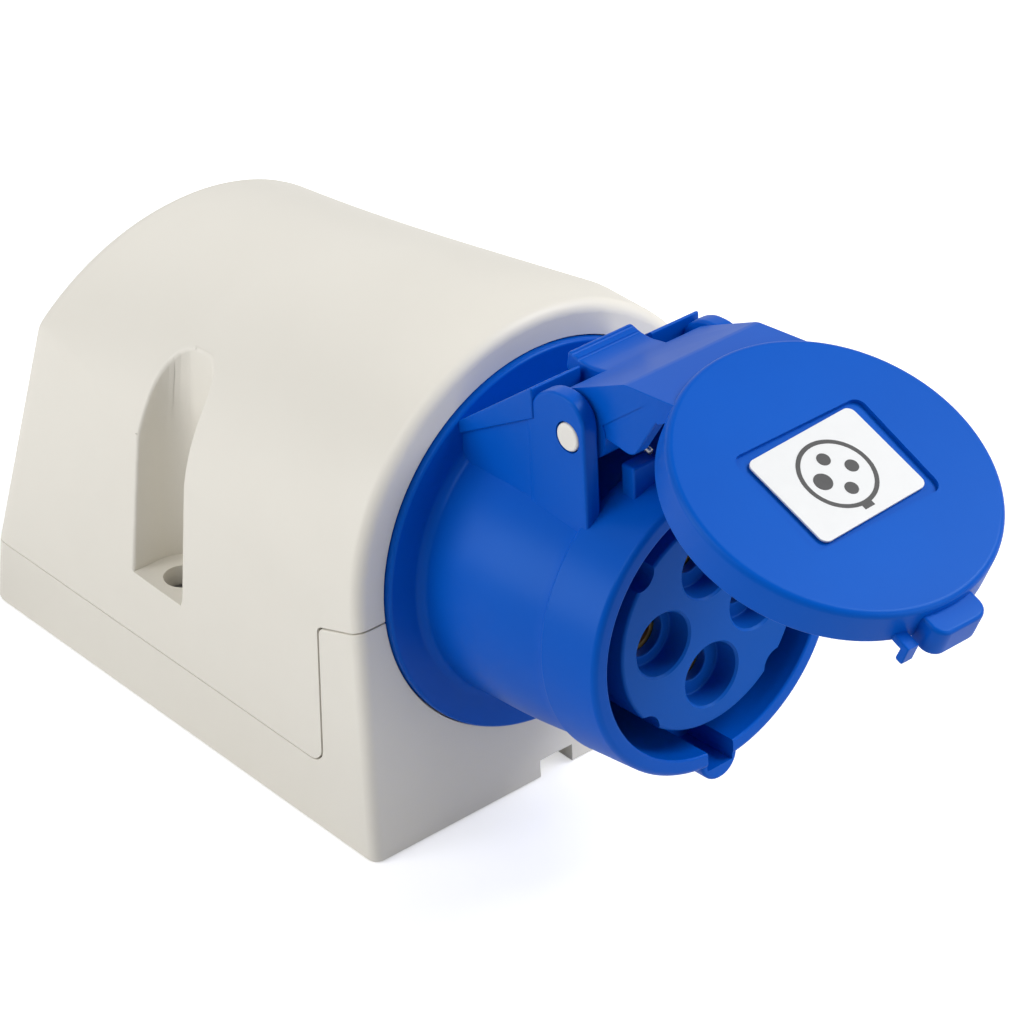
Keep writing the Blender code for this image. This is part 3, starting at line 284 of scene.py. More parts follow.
# Cover: the hood of the housing, one thin cream moulding. Its arch is round at the outlet and lower and
# flatter at the back, its sides lean in, and a channel in each side makes room for a screwdriver.
seam = 0.0003
foot = rim_height + seam
front_apex = 0.0939
back_drop = 0.0159
side_lean = math.radians(10.0)


def arch_ring(bm, along, inset):
    """One closed section of the cover: two leaning sides, two shoulders and the arch, each spun."""
    share = max(0.0, (along - 0.12) / 0.88)
    late = max(0.0, (along - 0.45) / 0.55)
    lean = side_lean * share
    apex = front_apex - back_drop * share
    spread = 0.00005 + 0.0063 * late * late
    side = ((half_width * math.cos(lean) - (apex - spread - rim_height) * math.sin(lean))
            / (1 - math.sin(lean)))
    centre = apex - side - spread
    radius = side + spread - inset
    side = side - inset
    soft = 0.022 - 0.017 * share - inset
    rise = math.sqrt((radius - soft) ** 2 - (side - soft) ** 2)
    turn = lean + math.atan2(rise, side - soft)
    pivot = Vector(((side - soft) * math.cos(lean) - rise * math.sin(lean), 0,
                    centre + (side - soft) * math.sin(lean) + rise * math.cos(lean)))
    sunk = foot - 0.008
    known = set(bm.edges)
    first = bm.verts.new(((side - (sunk - centre) * math.sin(lean)) / math.cos(lean), 0, sunk))
    last = bm.verts.new(pivot + soft * Vector((math.cos(lean), 0, math.sin(lean))))
    bm.edges.new((first, last))
    for about, angle, steps in ((pivot, turn - lean, 6),
                                (Vector((0, 0, centre)), math.pi - 2 * turn, 72),
                                (Vector((-pivot.x, 0, pivot.z)), turn - lean, 6)):
        done = bmesh.ops.spin(bm, geom=[last], cent=about, axis=(0, -1, 0), angle=angle, steps=steps)
        last = [item for item in done["geom_last"] if isinstance(item, bmesh.types.BMVert)][0]
    end = bm.verts.new((-first.co.x, 0, sunk))
    bm.edges.new((last, end))
    bm.edges.new((end, first))
    straight = [edge for edge in bm.edges if edge not in known and 0.01 < edge.calc_length() < 0.07]
    bmesh.ops.subdivide_edges(bm, edges=straight, cuts=5)
    ring = [edge for edge in bm.edges if edge not in known]
    lean_y = (1 - along) * math.tan(front_lean) - along * math.tan(back_lean)
    place_y = half_length * (2 * along - 1)
    slant = Matrix(((1, 0, 0, 0), (0, 1, lean_y, place_y), (0, 0, 1, 0), (0, 0, 0, 1)))
    bmesh.ops.transform(bm, matrix=slant, verts=list({vert for edge in ring for vert in edge.verts}))
    return ring


def hood_body(inset, front, back, rounds, low):
    """Closed body of the cover between two ends, with its end edges rounded, cut off at its foot."""
    bm = bmesh.new()
    stations = (front, 0.06, 0.12, 0.2, 0.28, 0.36, 0.44, 0.52, 0.6, 0.68, 0.76, 0.84, 0.92, back)
    rings = [arch_ring(bm, along, inset) for along in stations]
    for near, far in zip(rings, rings[1:]):
        bmesh.ops.bridge_loops(bm, edges=near + far)
    for ring in (rings[0], rings[-1]):
        bmesh.ops.edgeloop_fill(bm, edges=ring)
    bmesh.ops.remove_doubles(bm, verts=bm.verts, dist=1e-6)
    for ring, radius in zip((rings[0], rings[-1]), rounds):
        if radius:
            bmesh.ops.bevel(bm, geom=[edge for edge in ring if edge.is_valid], offset=radius,
                            offset_type="OFFSET", segments=7, profile=0.5, affect="EDGES", material=-1)
    bmesh.ops.recalc_face_normals(bm, faces=bm.faces)
    cut_off = bmesh.ops.bisect_plane(bm, geom=bm.verts[:] + bm.edges[:] + bm.faces[:], dist=1e-7,
                                     plane_co=(0, 0, low), plane_no=(0, 0, 1), clear_inner=True)
    rim = [item for item in cut_off["geom_cut"] if isinstance(item, bmesh.types.BMEdge)]
    bmesh.ops.edgeloop_fill(bm, edges=rim)
    bmesh.ops.recalc_face_normals(bm, faces=bm.faces)
    bmesh.ops.triangulate(bm, faces=[face for face in bm.faces if len(face.verts) == 4])
    return bm


channel_depth = 0.014
channel_half = 0.0074
channel_round = 0.006
channel_wall = 0.0025
channel_floor = 0.0274
screw_seat = channel_floor - 0.006


def channel(side, grow, low):
    """Upright channel in one side of the cover, round at its inner corners."""
    inner = side * (half_width - channel_depth - grow)
    outer = side * (half_width + 0.01)
    reach = channel_half + grow
    return plate([
        (outer, screw_y - reach),
        (outer, screw_y + reach),
        (inner, screw_y + reach, channel_round + grow),
        (inner, screw_y - reach, channel_round + grow),
    ], low, above)


span = back_y(outlet_height) - front_y(outlet_height)
cover_shell = moulding("cover_shell", hood_body(0.0, 0.0, 1.0, (front_round, back_round), foot - 0.003))
for side in (-1, 1):
    shaped(cover_shell, channel(side, 0.0, channel_floor))
hollow = moulding("hollow", hood_body(wall, front_wall / span, 1 - wall / span, (0.0, 0.0), foot - 0.005))
for side in (-1, 1):
    shaped(hollow, channel(side, channel_wall, channel_floor - wall))
bm = bmesh.new()
bm.from_mesh(hollow.data)
bpy.data.objects.remove(hollow, do_unlink=True)
shaped(cover_shell, bm)
for side in (-1, 1):
    spot = Matrix.Translation((side * screw_x, screw_y, 0))
    shaped(cover_shell, drum(boss_radius, foot - 0.002, channel_floor - 0.001, spot, 48), "UNION")
slope = (pillar_front_height - pillar_back_height) / (pillar_back - front_y(pillar_front_height))
beyond = 0.02
shaped(cover_shell, plate([
    (front_y(0) - beyond, -beyond),
    (back_y(0) + beyond, -beyond),
    (back_y(foot) + beyond, foot),
    (pillar_back + seam, foot, 0.0032),
    (pillar_back + seam, 0.0443, 0.0012),
    (front_y(pillar_front_height) - beyond, 0.0483 + slope * beyond),
], -above, above, side_view))
shaped(cover_shell, drum(outlet_bore, -0.02, 0.02, outlet))
shaped(cover_shell, drum(flange_room, flange_seat, 0.02, outlet, 144))
head_room = 0.0037
shank_room = 0.0019
for side in (-1, 1):
    spot = Matrix.Translation((side * screw_x, screw_y, 0))
    shaped(cover_shell, drum(head_room, screw_seat, 0.04, spot, 48))
    shaped(cover_shell, drum(shank_room, 0.0, 0.04, spot, 32))
inlet_height = 0.041
inlet_radius = 0.0105
inlet = (Matrix.Translation((0, back_y(inlet_height), inlet_height))
         @ Matrix.Rotation(back_lean - math.radians(90), 4, "X"))
shaped(cover_shell, drum(inlet_radius, -0.01, 0.01, inlet))


def mouth_edges(bm):
    """Edges where the channels' upright walls meet the outer skin."""
    found = []
    for edge in bm.edges:
        middle = (edge.verts[0].co + edge.verts[1].co) / 2
        near = (abs(middle.y - screw_y) < channel_half + 0.0004
                and abs(middle.x) > half_width - channel_depth - 0.0005
                and middle.z > channel_floor + 0.0003)
        if near and len(edge.link_faces) == 2 and edge.calc_face_angle(0) > math.radians(12):
            if [abs(face.normal.z) < 1e-3 for face in edge.link_faces].count(True) == 1:
                found.append(edge)
    return found


mouth_top = 0.060
bm = bmesh.new()
bm.from_mesh(cover_shell.data)
for height in (0.0331, 0.0388, 0.0445, 0.0502, 0.0559):
    bmesh.ops.bisect_plane(bm, geom=bm.verts[:] + bm.edges[:] + bm.faces[:], dist=1e-5,
                           plane_co=(0, 0, height), plane_no=(0, 0, 1))
along_mouth = list({vert for edge in mouth_edges(bm) for vert in edge.verts})
bmesh.ops.remove_doubles(bm, verts=along_mouth, dist=0.00015)
along_top = list({vert for edge in mouth_edges(bm) for vert in edge.verts if vert.co.z > mouth_top})
bmesh.ops.remove_doubles(bm, verts=along_top, dist=0.0003)
bmesh.ops.bevel(bm, geom=mouth_edges(bm), offset=0.0007, offset_type="OFFSET", segments=4,
                profile=0.5, affect="EDGES", clamp_overlap=False, loop_slide=True, material=-1)
bmesh.ops.remove_doubles(bm, verts=bm.verts, dist=0.00002)
bm.to_mesh(cover_shell.data)
bm.free()
faired(cover_shell, 28.0)
dressed(cover_shell, cream)
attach(cover_shell, "housing")
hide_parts("housing_cover")

# Cover screws: two zinc-plated steel screws with a cross recess in their pan heads. They sit in a round
# recess at the foot of each channel and hold the cover to the brass inserts of the tray.
def spun(profile, steps=144, turn=None):
    """Bmesh turned once about Z from a closed outline. A point is (radius, height) or has a softness."""
    bm = bmesh.new()
    made = [bm.verts.new((point[0], 0, point[1])) for point in profile]
    bm.faces.new(made)
    for vert, point in zip(made, profile):
        if len(point) > 2:
            bmesh.ops.bevel(bm, geom=[vert], offset=point[2], offset_type="OFFSET", segments=6,
                            profile=0.5, affect="VERTICES", material=-1)
    bmesh.ops.delete(bm, geom=bm.faces[:], context="FACES_ONLY")
    inner = [edge for edge in bm.edges if max(vert.co.x for vert in edge.verts) < 1e-7]
    bmesh.ops.delete(bm, geom=inner, context="EDGES")
    bmesh.ops.spin(bm, geom=bm.verts[:] + bm.edges[:], cent=(0, 0, 0), axis=(0, 0, 1),
                   angle=math.tau, steps=steps, use_merge=True)
    bmesh.ops.remove_doubles(bm, verts=bm.verts, dist=1e-7)
    if turn:
        bm.transform(turn)
    bmesh.ops.recalc_face_normals(bm, faces=bm.faces)
    return bm


steel_with_painted_shade = bpy.data.materials.new("screw_steel_painted_shade")
steel_with_painted_shade.use_nodes = True
tree = steel_with_painted_shade.node_tree
finish = tree.nodes["Principled BSDF"]
finish.inputs["Metallic"].default_value = 1.0
place = tree.nodes.new("ShaderNodeTexCoord")
stain = tree.nodes.new("ShaderNodeTexNoise")
stain.inputs["Scale"].default_value = 900.0
tones = tree.nodes.new("ShaderNodeValToRGB")
# Painted shade: the screw steel is coloured far darker than plain zinc. This stands both for a blackened
# finish and for the shade in the deep recess round each head.
tones.color_ramp.elements[0].color = (0.13, 0.13, 0.135, 1)
tones.color_ramp.elements[1].color = (0.24, 0.24, 0.245, 1)
gloss = tree.nodes.new("ShaderNodeMapRange")
gloss.inputs["To Min"].default_value = 0.3
gloss.inputs["To Max"].default_value = 0.48
tree.links.new(place.outputs["Object"], stain.inputs["Vector"])
tree.links.new(stain.outputs["Fac"], tones.inputs["Fac"])
tree.links.new(stain.outputs["Fac"], gloss.inputs["Value"])
tree.links.new(tones.outputs["Color"], finish.inputs["Base Color"])
tree.links.new(gloss.outputs["Result"], finish.inputs["Roughness"])

head = screw_seat + seam
head_radius = 0.0034
shank_radius = 0.0016
cross_half = 0.0021
cross_width = 0.00084
for name, side in (("left", -1), ("right", 1)):
    spot = Matrix.Translation((side * screw_x, screw_y, 0))
    screw = moulding("cross_screw_" + name, spun([
        (0, head + 0.0025),
        (head_radius, head + 0.0023, 0.0012),
        (head_radius, head, 0.0002),
        (shank_radius, head),
        (shank_radius, 0.0073, 0.0004),
        (0, 0.0063),
    ], 64, spot))
    for turn in (20, 110):
        aimed = spot @ Matrix.Rotation(math.radians(turn), 4, "Z")
        shaped(screw, block((-cross_half, -cross_width / 2, head + 0.0008),
                            (cross_half, cross_width / 2, head + 0.004), aimed))
    faired(screw)
    dressed(screw, steel_with_painted_shade)
    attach(screw, "housing")
    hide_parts("cover_screw_" + name)

# Cable grommet: a soft black rubber plug that snaps into the hole in the back wall by the groove round
# its neck. Its nose has a thin ring that is cut through to let a cable in.
rubber = bpy.data.materials.new("black_rubber")
rubber.use_nodes = True
tree = rubber.node_tree
finish = tree.nodes["Principled BSDF"]
finish.inputs["Roughness"].default_value = 0.72
finish.inputs["Specular IOR Level"].default_value = 0.35
place = tree.nodes.new("ShaderNodeTexCoord")
bloom = tree.nodes.new("ShaderNodeTexNoise")
bloom.inputs["Scale"].default_value = 260.0
bloom.inputs["Detail"].default_value = 5.0
tones = tree.nodes.new("ShaderNodeValToRGB")
tones.color_ramp.elements[0].color = (0.016, 0.016, 0.018, 1)
tones.color_ramp.elements[1].color = (0.035, 0.035, 0.037, 1)
relief = tree.nodes.new("ShaderNodeBump")
relief.inputs["Strength"].default_value = 0.25
relief.inputs["Distance"].default_value = 0.0001
tree.links.new(place.outputs["Object"], bloom.inputs["Vector"])
tree.links.new(bloom.outputs["Fac"], tones.inputs["Fac"])
tree.links.new(bloom.outputs["Fac"], relief.inputs["Height"])
tree.links.new(tones.outputs["Color"], finish.inputs["Base Color"])
tree.links.new(relief.outputs["Normal"], finish.inputs["Normal"])

nose_top = 0.0052
nose_under = 0.0040
lip_radius = 0.0130
neck_radius = 0.0102
cup_radius = 0.0082
grommet = moulding("inlet_grommet", spun([
    (0, nose_top),
    (0.0055, nose_top, 0.0006),
    (cup_radius, 0.0021, 0.0006),
    (lip_radius, 0.0021, 0.0008),
    (lip_radius, 0.0003, 0.0002),
    (neck_radius, 0.0003),
    (neck_radius, -0.0033),
    (lip_radius, -0.0033),
    (lip_radius, -0.0051, 0.0006),
    (cup_radius, -0.0051),
    (cup_radius, -0.0010),
    (0.0047, nose_under),
    (0, nose_under),
], 96, inlet))
shaped(grommet, spun([
    (0.0043, 0.0053),
    (0.0040, 0.0049),
    (0.0037, 0.0053),
], 96, inlet))
faired(grommet)
dressed(grommet, rubber)
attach(grommet, "housing")
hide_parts("cable_grommet")

# Outlet body: one blue moulding with a flange, a tube that narrows to its collar and a rim with a keyway.
# A ramp and the gusset under it rise from the flange to the two ears, which carry the lid's hinge pin.
def taken(piece):
    """Bmesh of a piece's mesh. The piece itself is removed."""
    bm = bmesh.new()
    bm.from_mesh(piece.data)
    bpy.data.objects.remove(piece, do_unlink=True)
    return bm


side_of_outlet = Matrix(((0, 0, -1, 0), (0, 1, 0, 0), (1, 0, 0, 0), (0, 0, 0, 1)))
across = Matrix.Rotation(math.radians(90), 4, "Y")
rim_out = 0.0443
mouth_radius = 0.02525
mouth_floor = 0.0040
collar_radius = 0.0284
flange_radius = 0.0370
flange_front = 0.0014
flange_back = -0.0007
spigot_radius = 0.0294
spigot_bore = 0.0270
spigot_end = -0.0120
outlet_body = moulding("outlet_body", spun([
    (mouth_radius, rim_out, 0.0005),
    (collar_radius, rim_out, 0.0011),
    (0.0293, 0.0318, 0.0003),
    (collar_radius, 0.0312, 0.0002),
    (collar_radius, 0.0295, 0.0008),
    (0.0296, 0.0175, 0.004),
    (0.0299, flange_front, 0.0018),
    (flange_radius, flange_front, 0.0006),
    (flange_radius, flange_back),
    (spigot_radius, flange_back),
    (spigot_radius, spigot_end),
    (spigot_bore, spigot_end),
    (spigot_bore, mouth_floor),
    (mouth_radius, mouth_floor),
]))
hinge_up = 0.0386
hinge_out = 0.0294
ear_inside = 0.0157
ear_outside = 0.0190
ear_top = 0.0461
ear_front = 0.0335
root_up = 0.020
foot_out = 0.0010
ramp_end = 0.021
ramp_half = 0.0193
gusset_half = 0.0187
lever_half = 0.00825
lever_floor = 0.0363
ear_corners = [
    (ear_front, root_up),
    (ear_front, ear_top, 0.005),
    (0.0222, ear_top, 0.0048),
    (0.0192, 0.0390),
    (0.0192, root_up),
]
webs = [
    plate([(foot_out, root_up), (foot_out, 0.02955), (ramp_end, 0.0430), (ramp_end, root_up)],
          -gusset_half, gusset_half, side_of_outlet, 0.0005),
    plate([(foot_out, 0.0283), (foot_out, 0.0308), (ramp_end, 0.0450, 0.0008), (ramp_end, 0.0390)],
          -ramp_half, ramp_half, side_of_outlet, 0.0005),
    plate(ear_corners, ear_inside, ear_outside, side_of_outlet, 0.0006),
    plate(ear_corners, -ear_outside, -ear_inside, side_of_outlet, 0.0006),
    block((-0.0115, 0.0226, 0.034), (-0.006, 0.0325, 0.0372)),
    drum(0.0042, 0.031, rim_out - 0.0003, Matrix.Translation((0, -0.0275, 0)), 64),
]
for count, bm in enumerate(webs):
    if count > 3:
        outer = [edge for edge in bm.edges if edge.calc_face_angle(0) > math.radians(60)]
        bmesh.ops.bevel(bm, geom=outer, offset=0.0005, offset_type="OFFSET", segments=3, profile=0.5,
                        affect="EDGES", clamp_overlap=True, material=-1)
    web = moulding("web", bm)
    shaped(web, drum(0.0277, -0.2, 0.2))
    if count < 2:
        shaped(web, plate([(0.012, lever_floor), (0.012, 0.045), (0.022, 0.050), (0.022, lever_floor)],
                          -lever_half, lever_half, side_of_outlet))
    bm = taken(web)
    bm.transform(outlet)
    if count == 0:
        outlet_body.data.transform(outlet)
    shaped(outlet_body, bm, "UNION")
keyway_half = 0.003
shaped(outlet_body, block((-keyway_half, -0.029, 0.0325), (keyway_half, -0.0205, rim_out + 0.002), outlet))
hinge = outlet @ Matrix.Translation((0, hinge_up, hinge_out))
pin_line = hinge @ across
pin_room = 0.0029
shaped(outlet_body, drum(pin_room, -0.1, 0.1, pin_line, 48))
faired(outlet_body, 30.0)

blue = bpy.data.materials.new("blue_plastic")
blue.use_nodes = True
tree = blue.node_tree
finish = tree.nodes["Principled BSDF"]
finish.inputs["Roughness"].default_value = 0.34
finish.inputs["Specular IOR Level"].default_value = 0.17
finish.inputs["Specular Tint"].default_value = (0.35, 0.65, 1.0, 1)
place = tree.nodes.new("ShaderNodeTexCoord")
cloud = tree.nodes.new("ShaderNodeTexNoise")
cloud.inputs["Scale"].default_value = 45.0
cloud.inputs["Detail"].default_value = 4.0
tones = tree.nodes.new("ShaderNodeValToRGB")
tones.color_ramp.elements[0].position = 0.3
tones.color_ramp.elements[0].color = (0.0, 0.083, 0.485, 1)
tones.color_ramp.elements[1].position = 0.7
tones.color_ramp.elements[1].color = (0.0, 0.091, 0.520, 1)
grain = tree.nodes.new("ShaderNodeTexNoise")
grain.inputs["Scale"].default_value = 3200.0
relief = tree.nodes.new("ShaderNodeBump")
relief.inputs["Strength"].default_value = 0.08
relief.inputs["Distance"].default_value = 0.00006
tree.links.new(place.outputs["Object"], cloud.inputs["Vector"])
tree.links.new(place.outputs["Object"], grain.inputs["Vector"])
tree.links.new(cloud.outputs["Fac"], tones.inputs["Fac"])
tree.links.new(tones.outputs["Color"], finish.inputs["Base Color"])
tree.links.new(grain.outputs["Fac"], relief.inputs["Height"])
tree.links.new(relief.outputs["Normal"], finish.inputs["Normal"])
dressed(outlet_body, blue)
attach(outlet_body, "housing")
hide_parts("socket_shroud")

# Insulator: a darker blue core with a well for each pole, the earth's being wider inside, and scallops
# in its rim. The brass sleeves stand behind the wells.
face_out = 0.0426
core_radius = 0.0205
core_foot_radius = 0.0267
core_foot_top = 0.0037
core_back = 0.0005
pole_pitch = 0.0109
insulator = moulding("insulator_core", spun([
    (0, face_out),
    (core_radius, face_out, 0.0006),
    (core_radius, core_foot_top),
    (core_foot_radius, core_foot_top),
    (core_foot_radius, core_back),
    (0, core_back),
], 128, outlet))
scallop_radius = 0.0032
scallop_pitch = 0.0222
scallop_depth = 0.022
for turn in (45, 135, 225, 315):
    spot = outlet @ Matrix.Rotation(math.radians(turn), 4, "Z") @ Matrix.Translation((scallop_pitch, 0, 0))
    shaped(insulator, drum(scallop_radius, face_out - scallop_depth, face_out + 0.001, spot, 48))
well_radius = 0.0060
well_floor = face_out - 0.005
sleeve_top = 0.0356
pole = (0.00315, 0.0043)
earth = (0.00415, 0.0053)
for turn, (bore, sleeve) in ((90, pole), (0, pole), (270, pole), (180, earth)):
    spot = outlet @ Matrix.Rotation(math.radians(turn), 4, "Z") @ Matrix.Translation((pole_pitch, 0, 0))
    shaped(insulator, spun([
        (0, face_out + 0.001),
        (0.0074, face_out + 0.001),
        (well_radius, face_out - 0.0004),
        (well_radius, well_floor, 0.0004),
        (bore, well_floor, 0.0003),
        (bore, sleeve_top),
        (sleeve, sleeve_top),
        (sleeve, -0.02),
        (0, -0.02),
    ], 64, spot))
faired(insulator, 30.0)

deep_blue = blue.copy()
deep_blue.name = "deep_blue_plastic"
finish = deep_blue.node_tree.nodes["Principled BSDF"]
finish.inputs["Roughness"].default_value = 0.42
ramp = next(node for node in deep_blue.node_tree.nodes if node.type == "VALTORGB").color_ramp
ramp.elements[0].color = (0.002, 0.078, 0.400, 1)
ramp.elements[1].color = (0.003, 0.086, 0.440, 1)
dressed(insulator, deep_blue)
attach(insulator, "housing")
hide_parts("socket_insulator")

# Lid: the blue cap that the spring closes over the rim. One moulding holds the dished disc, the hood
# over the hinge with its thumb lever, two toothed cheeks, the key's lug and a small tab. Its lengths are
# measured from the hinge, with the lid closed.
open_angle = 64.0
lid_frame = hinge @ Matrix.Rotation(math.radians(-open_angle), 4, "X")
disc = Matrix.Translation((0, -hinge_up, 0))
lid_top = 0.0222
lid_foot = 0.0152
lid_radius = 0.0288
skirt_inside = 0.0272
disc_under = lid_top - 0.0026
rib_foot = lid_top - 0.0050
rib_outside = 0.0235
rib_inside = 0.0221
lid_cap = moulding("lid_cap", spun([
    (0, lid_top),
    (lid_radius, lid_top, 0.0012),
    (lid_radius, lid_foot, 0.0003),
    (skirt_inside, lid_foot, 0.0003),
    (skirt_inside, disc_under, 0.0005),
    (rib_outside, disc_under),
    (rib_outside, rib_foot, 0.0003),
    (rib_inside, rib_foot, 0.0003),
    (rib_inside, disc_under),
    (0, disc_under),
], 144, disc))
hood_half = 0.0153
bm = plate([
    (0.00484, 0.00560),
    (0.00088, 0.00901, 0.0052),
    (-0.00819, 0.00386, 0.0052),
    (-0.00729, -0.00129),
    (-0.00507, -0.00185),
    (-0.00395, -0.00493, 0.00326),
    (0.00255, -0.00578, 0.00326),
    (0.00442, -0.00310),
    (0.0154, -0.0088),
    (0.0154, -0.0130),
    (0.0200, -0.0165),
    (0.0218, -0.0147),
    (0.0158, -0.0039, 0.0008),
], -hood_half, hood_half, side_of_outlet)
shoulders = [edge for edge in bm.edges
             if abs(edge.verts[0].co.x - edge.verts[1].co.x) < 1e-7
             and all(vert.co.y > -0.01471 and vert.co.z + vert.co.y > 0.0055 for vert in edge.verts)]
bmesh.ops.bevel(bm, geom=shoulders, offset=0.0024, offset_type="OFFSET", segments=6, profile=0.5,
                affect="EDGES", clamp_overlap=True, material=-1)
hood = moulding("hood", bm)
shaped(hood, drum(skirt_inside + 0.0003, -0.02, disc_under, disc, 144))
shaped(lid_cap, taken(hood), "UNION")
cheek_inside = 0.0123
cheek_outside = 0.0151
for low, high in ((-cheek_outside, -cheek_inside), (cheek_inside, cheek_outside)):
    shaped(lid_cap, plate([
        (0.0020, 0.0),
        (0.0024, -0.0046),
        (0.0044, -0.0110, 0.0016),
        (0.0168, -0.0127, 0.0006),
        (0.0168, -0.0085),
    ], low, high, side_of_outlet, 0.0003), "UNION")
thumb_half = 0.00725
shaped(lid_cap, plate([
    (0.0009, 0.0146, 0.0009),
    (0.0016, 0.0101, 0.0022),
    (0.0050, 0.0054),
    (0.0, 0.004),
    (-0.003, 0.0055),
    (-0.0026, 0.0136, 0.0006),
], -thumb_half, thumb_half, side_of_outlet, 0.0006), "UNION")
lug_half = 0.0058
lug_reach = 0.0330
lug_wall = 0.0010
below_lug = lid_top - 0.0098
lug = moulding("lug", plate([
    (-lug_half, -lug_reach, 0.0028),
    (lug_half, -lug_reach, 0.0028),
    (lug_half, -0.0277),
    (-lug_half, -0.0277),
], lid_top - 0.0080, lid_top - 0.0020, disc, 0.0007))
shaped(lug, drum(0.0287, below_lug, lid_foot, disc, 144))
shaped(lid_cap, taken(lug), "UNION")
tab_foot = lid_top - 0.0092
tab_outer = -0.0694
tab_inner = -0.0678
shaped(lid_cap, plate([
    (tab_foot, tab_outer, 0.0004),
    (lid_foot + 0.0018, tab_outer),
    (lid_foot + 0.0018, -0.0651),
    (lid_foot + 0.0003, -0.0651),
    (lid_foot + 0.0003, tab_inner),
    (tab_foot, tab_inner, 0.0004),
], 0.0072, 0.0098, side_of_outlet, 0.0003), "UNION")
shaped(lid_cap, plate([
    (-lug_half + lug_wall, -lug_reach + lug_wall, 0.002),
    (lug_half - lug_wall, -lug_reach + lug_wall, 0.002),
    (lug_half - lug_wall, -skirt_inside),
    (-lug_half + lug_wall, -skirt_inside),
], below_lug, lid_foot, disc))
coil_room = 0.0082
shaped(lid_cap, drum(0.0052, -coil_room, coil_room, across, 64))
shaped(lid_cap, block((-coil_room, -0.012, -0.012), (coil_room, 0.0, 0.004)))
shaped(lid_cap, plate([
    (0.0015, 0.00531),
    (0.0134, -0.00496),
    (lid_foot - 0.0016, -0.012),
    (0.0015, -0.012),
], -coil_room, coil_room, side_of_outlet))
shaped(lid_cap, drum(pin_room, -0.1, 0.1, across, 48))
recess_half_width = 0.0145
recess_half_height = 0.0108
shaped(lid_cap, plate([
    (-recess_half_width, -recess_half_height, 0.002),
    (recess_half_width, -recess_half_height, 0.002),
    (recess_half_width, recess_half_height, 0.002),
    (-recess_half_width, recess_half_height, 0.002),
], lid_top - 0.0008, lid_top + 0.001, disc))
grip_radius = 0.0005
for up, out in ((0.01168, 0.00156), (0.01325, 0.00131)):
    groove = Matrix.Translation((0, up, out)) @ across
    shaped(lid_cap, drum(grip_radius, -0.1, 0.1, groove, 16))
lid_cap.data.transform(lid_frame)
faired(lid_cap, 30.0)
dressed(lid_cap, blue)
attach(lid_cap, "cap")
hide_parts("lid")

# Lid seal: a black rubber ring held between the skirt and the rib, with a soft lip that meets the rim.
ring_inside = 0.0238
ring_outside = 0.0269
ring_back = lid_top - 0.0029
lid_ring = moulding("lid_ring", spun([
    (ring_inside, ring_back),
    (ring_outside, ring_back),
    (ring_outside, lid_foot, 0.0009),
    (ring_inside, lid_foot, 0.0009),
], 144, lid_frame @ disc))
faired(lid_ring)
dressed(lid_ring, rubber)
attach(lid_ring, "cap")
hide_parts("lid_seal")

# Label plate: a white film in the lid's recess. It carries a plain drawing of a socket face: a ring with
# a key at its foot and one dot for each pole.
label_skew = math.radians(2.5)
label_place = lid_frame @ disc @ Matrix.Rotation(label_skew, 4, "Z")
label_foot = lid_top - 0.0005
label_half_width = 0.01225
label_half_height = 0.0095
film = moulding("label_film", plate([
    (-label_half_width, -label_half_height, 0.0015),
    (label_half_width, -label_half_height, 0.0015),
    (label_half_width, label_half_height, 0.0015),
    (-label_half_width, label_half_height, 0.0015),
], label_foot, label_foot + 0.0004, label_place, 0.00006))
faired(film)
paper_white = bpy.data.materials.new("label_film")
paper_white.use_nodes = True
tree = paper_white.node_tree
finish = tree.nodes["Principled BSDF"]
finish.inputs["Roughness"].default_value = 0.36
finish.inputs["Specular IOR Level"].default_value = 0.4
place = tree.nodes.new("ShaderNodeTexCoord")
cloud = tree.nodes.new("ShaderNodeTexNoise")
cloud.inputs["Scale"].default_value = 300.0
tones = tree.nodes.new("ShaderNodeValToRGB")
tones.color_ramp.elements[0].color = (0.74, 0.75, 0.76, 1)
tones.color_ramp.elements[1].color = (0.78, 0.79, 0.80, 1)
tree.links.new(place.outputs["Object"], cloud.inputs["Vector"])
tree.links.new(cloud.outputs["Fac"], tones.inputs["Fac"])
tree.links.new(tones.outputs["Color"], finish.inputs["Base Color"])
dressed(film, paper_white)
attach(film, "cap")
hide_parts("lid_label")

ink = bpy.data.materials.new("printing_ink")
ink.use_nodes = True
tree = ink.node_tree
finish = tree.nodes["Principled BSDF"]
finish.inputs["Roughness"].default_value = 0.45
place = tree.nodes.new("ShaderNodeTexCoord")
cloud = tree.nodes.new("ShaderNodeTexNoise")
cloud.inputs["Scale"].default_value = 700.0
tones = tree.nodes.new("ShaderNodeValToRGB")
tones.color_ramp.elements[0].color = (0.010, 0.010, 0.011, 1)
tones.color_ramp.elements[1].color = (0.022, 0.022, 0.024, 1)
tree.links.new(place.outputs["Object"], cloud.inputs["Vector"])
tree.links.new(cloud.outputs["Fac"], tones.inputs["Fac"])
tree.links.new(tones.outputs["Color"], finish.inputs["Base Color"])
ink_foot = label_foot + 0.00039
ink_top = label_foot + 0.00044
drawn_outside = 0.0071
drawn_inside = 0.0063
drawing = moulding("label_drawing", spun([
    (drawn_outside, ink_foot),
    (drawn_outside, ink_top),
    (drawn_inside, ink_top),
    (drawn_inside, ink_foot),
], 96))
shaped(drawing, block((-0.0011, -0.0079, ink_foot), (0.0011, -0.0066, ink_top)), "UNION")
for turn, dot in ((0, 0.00125), (90, 0.00125), (180, 0.0017), (270, 0.00125)):
    aimed = Matrix.Rotation(math.radians(turn), 4, "Z") @ Matrix.Translation((0.0034, 0, 0))
    shaped(drawing, drum(dot, ink_foot, ink_top, aimed, 48), "UNION")
drawing.data.transform(label_place)
faired(drawing)
dressed(drawing, ink)
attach(drawing, "cap")

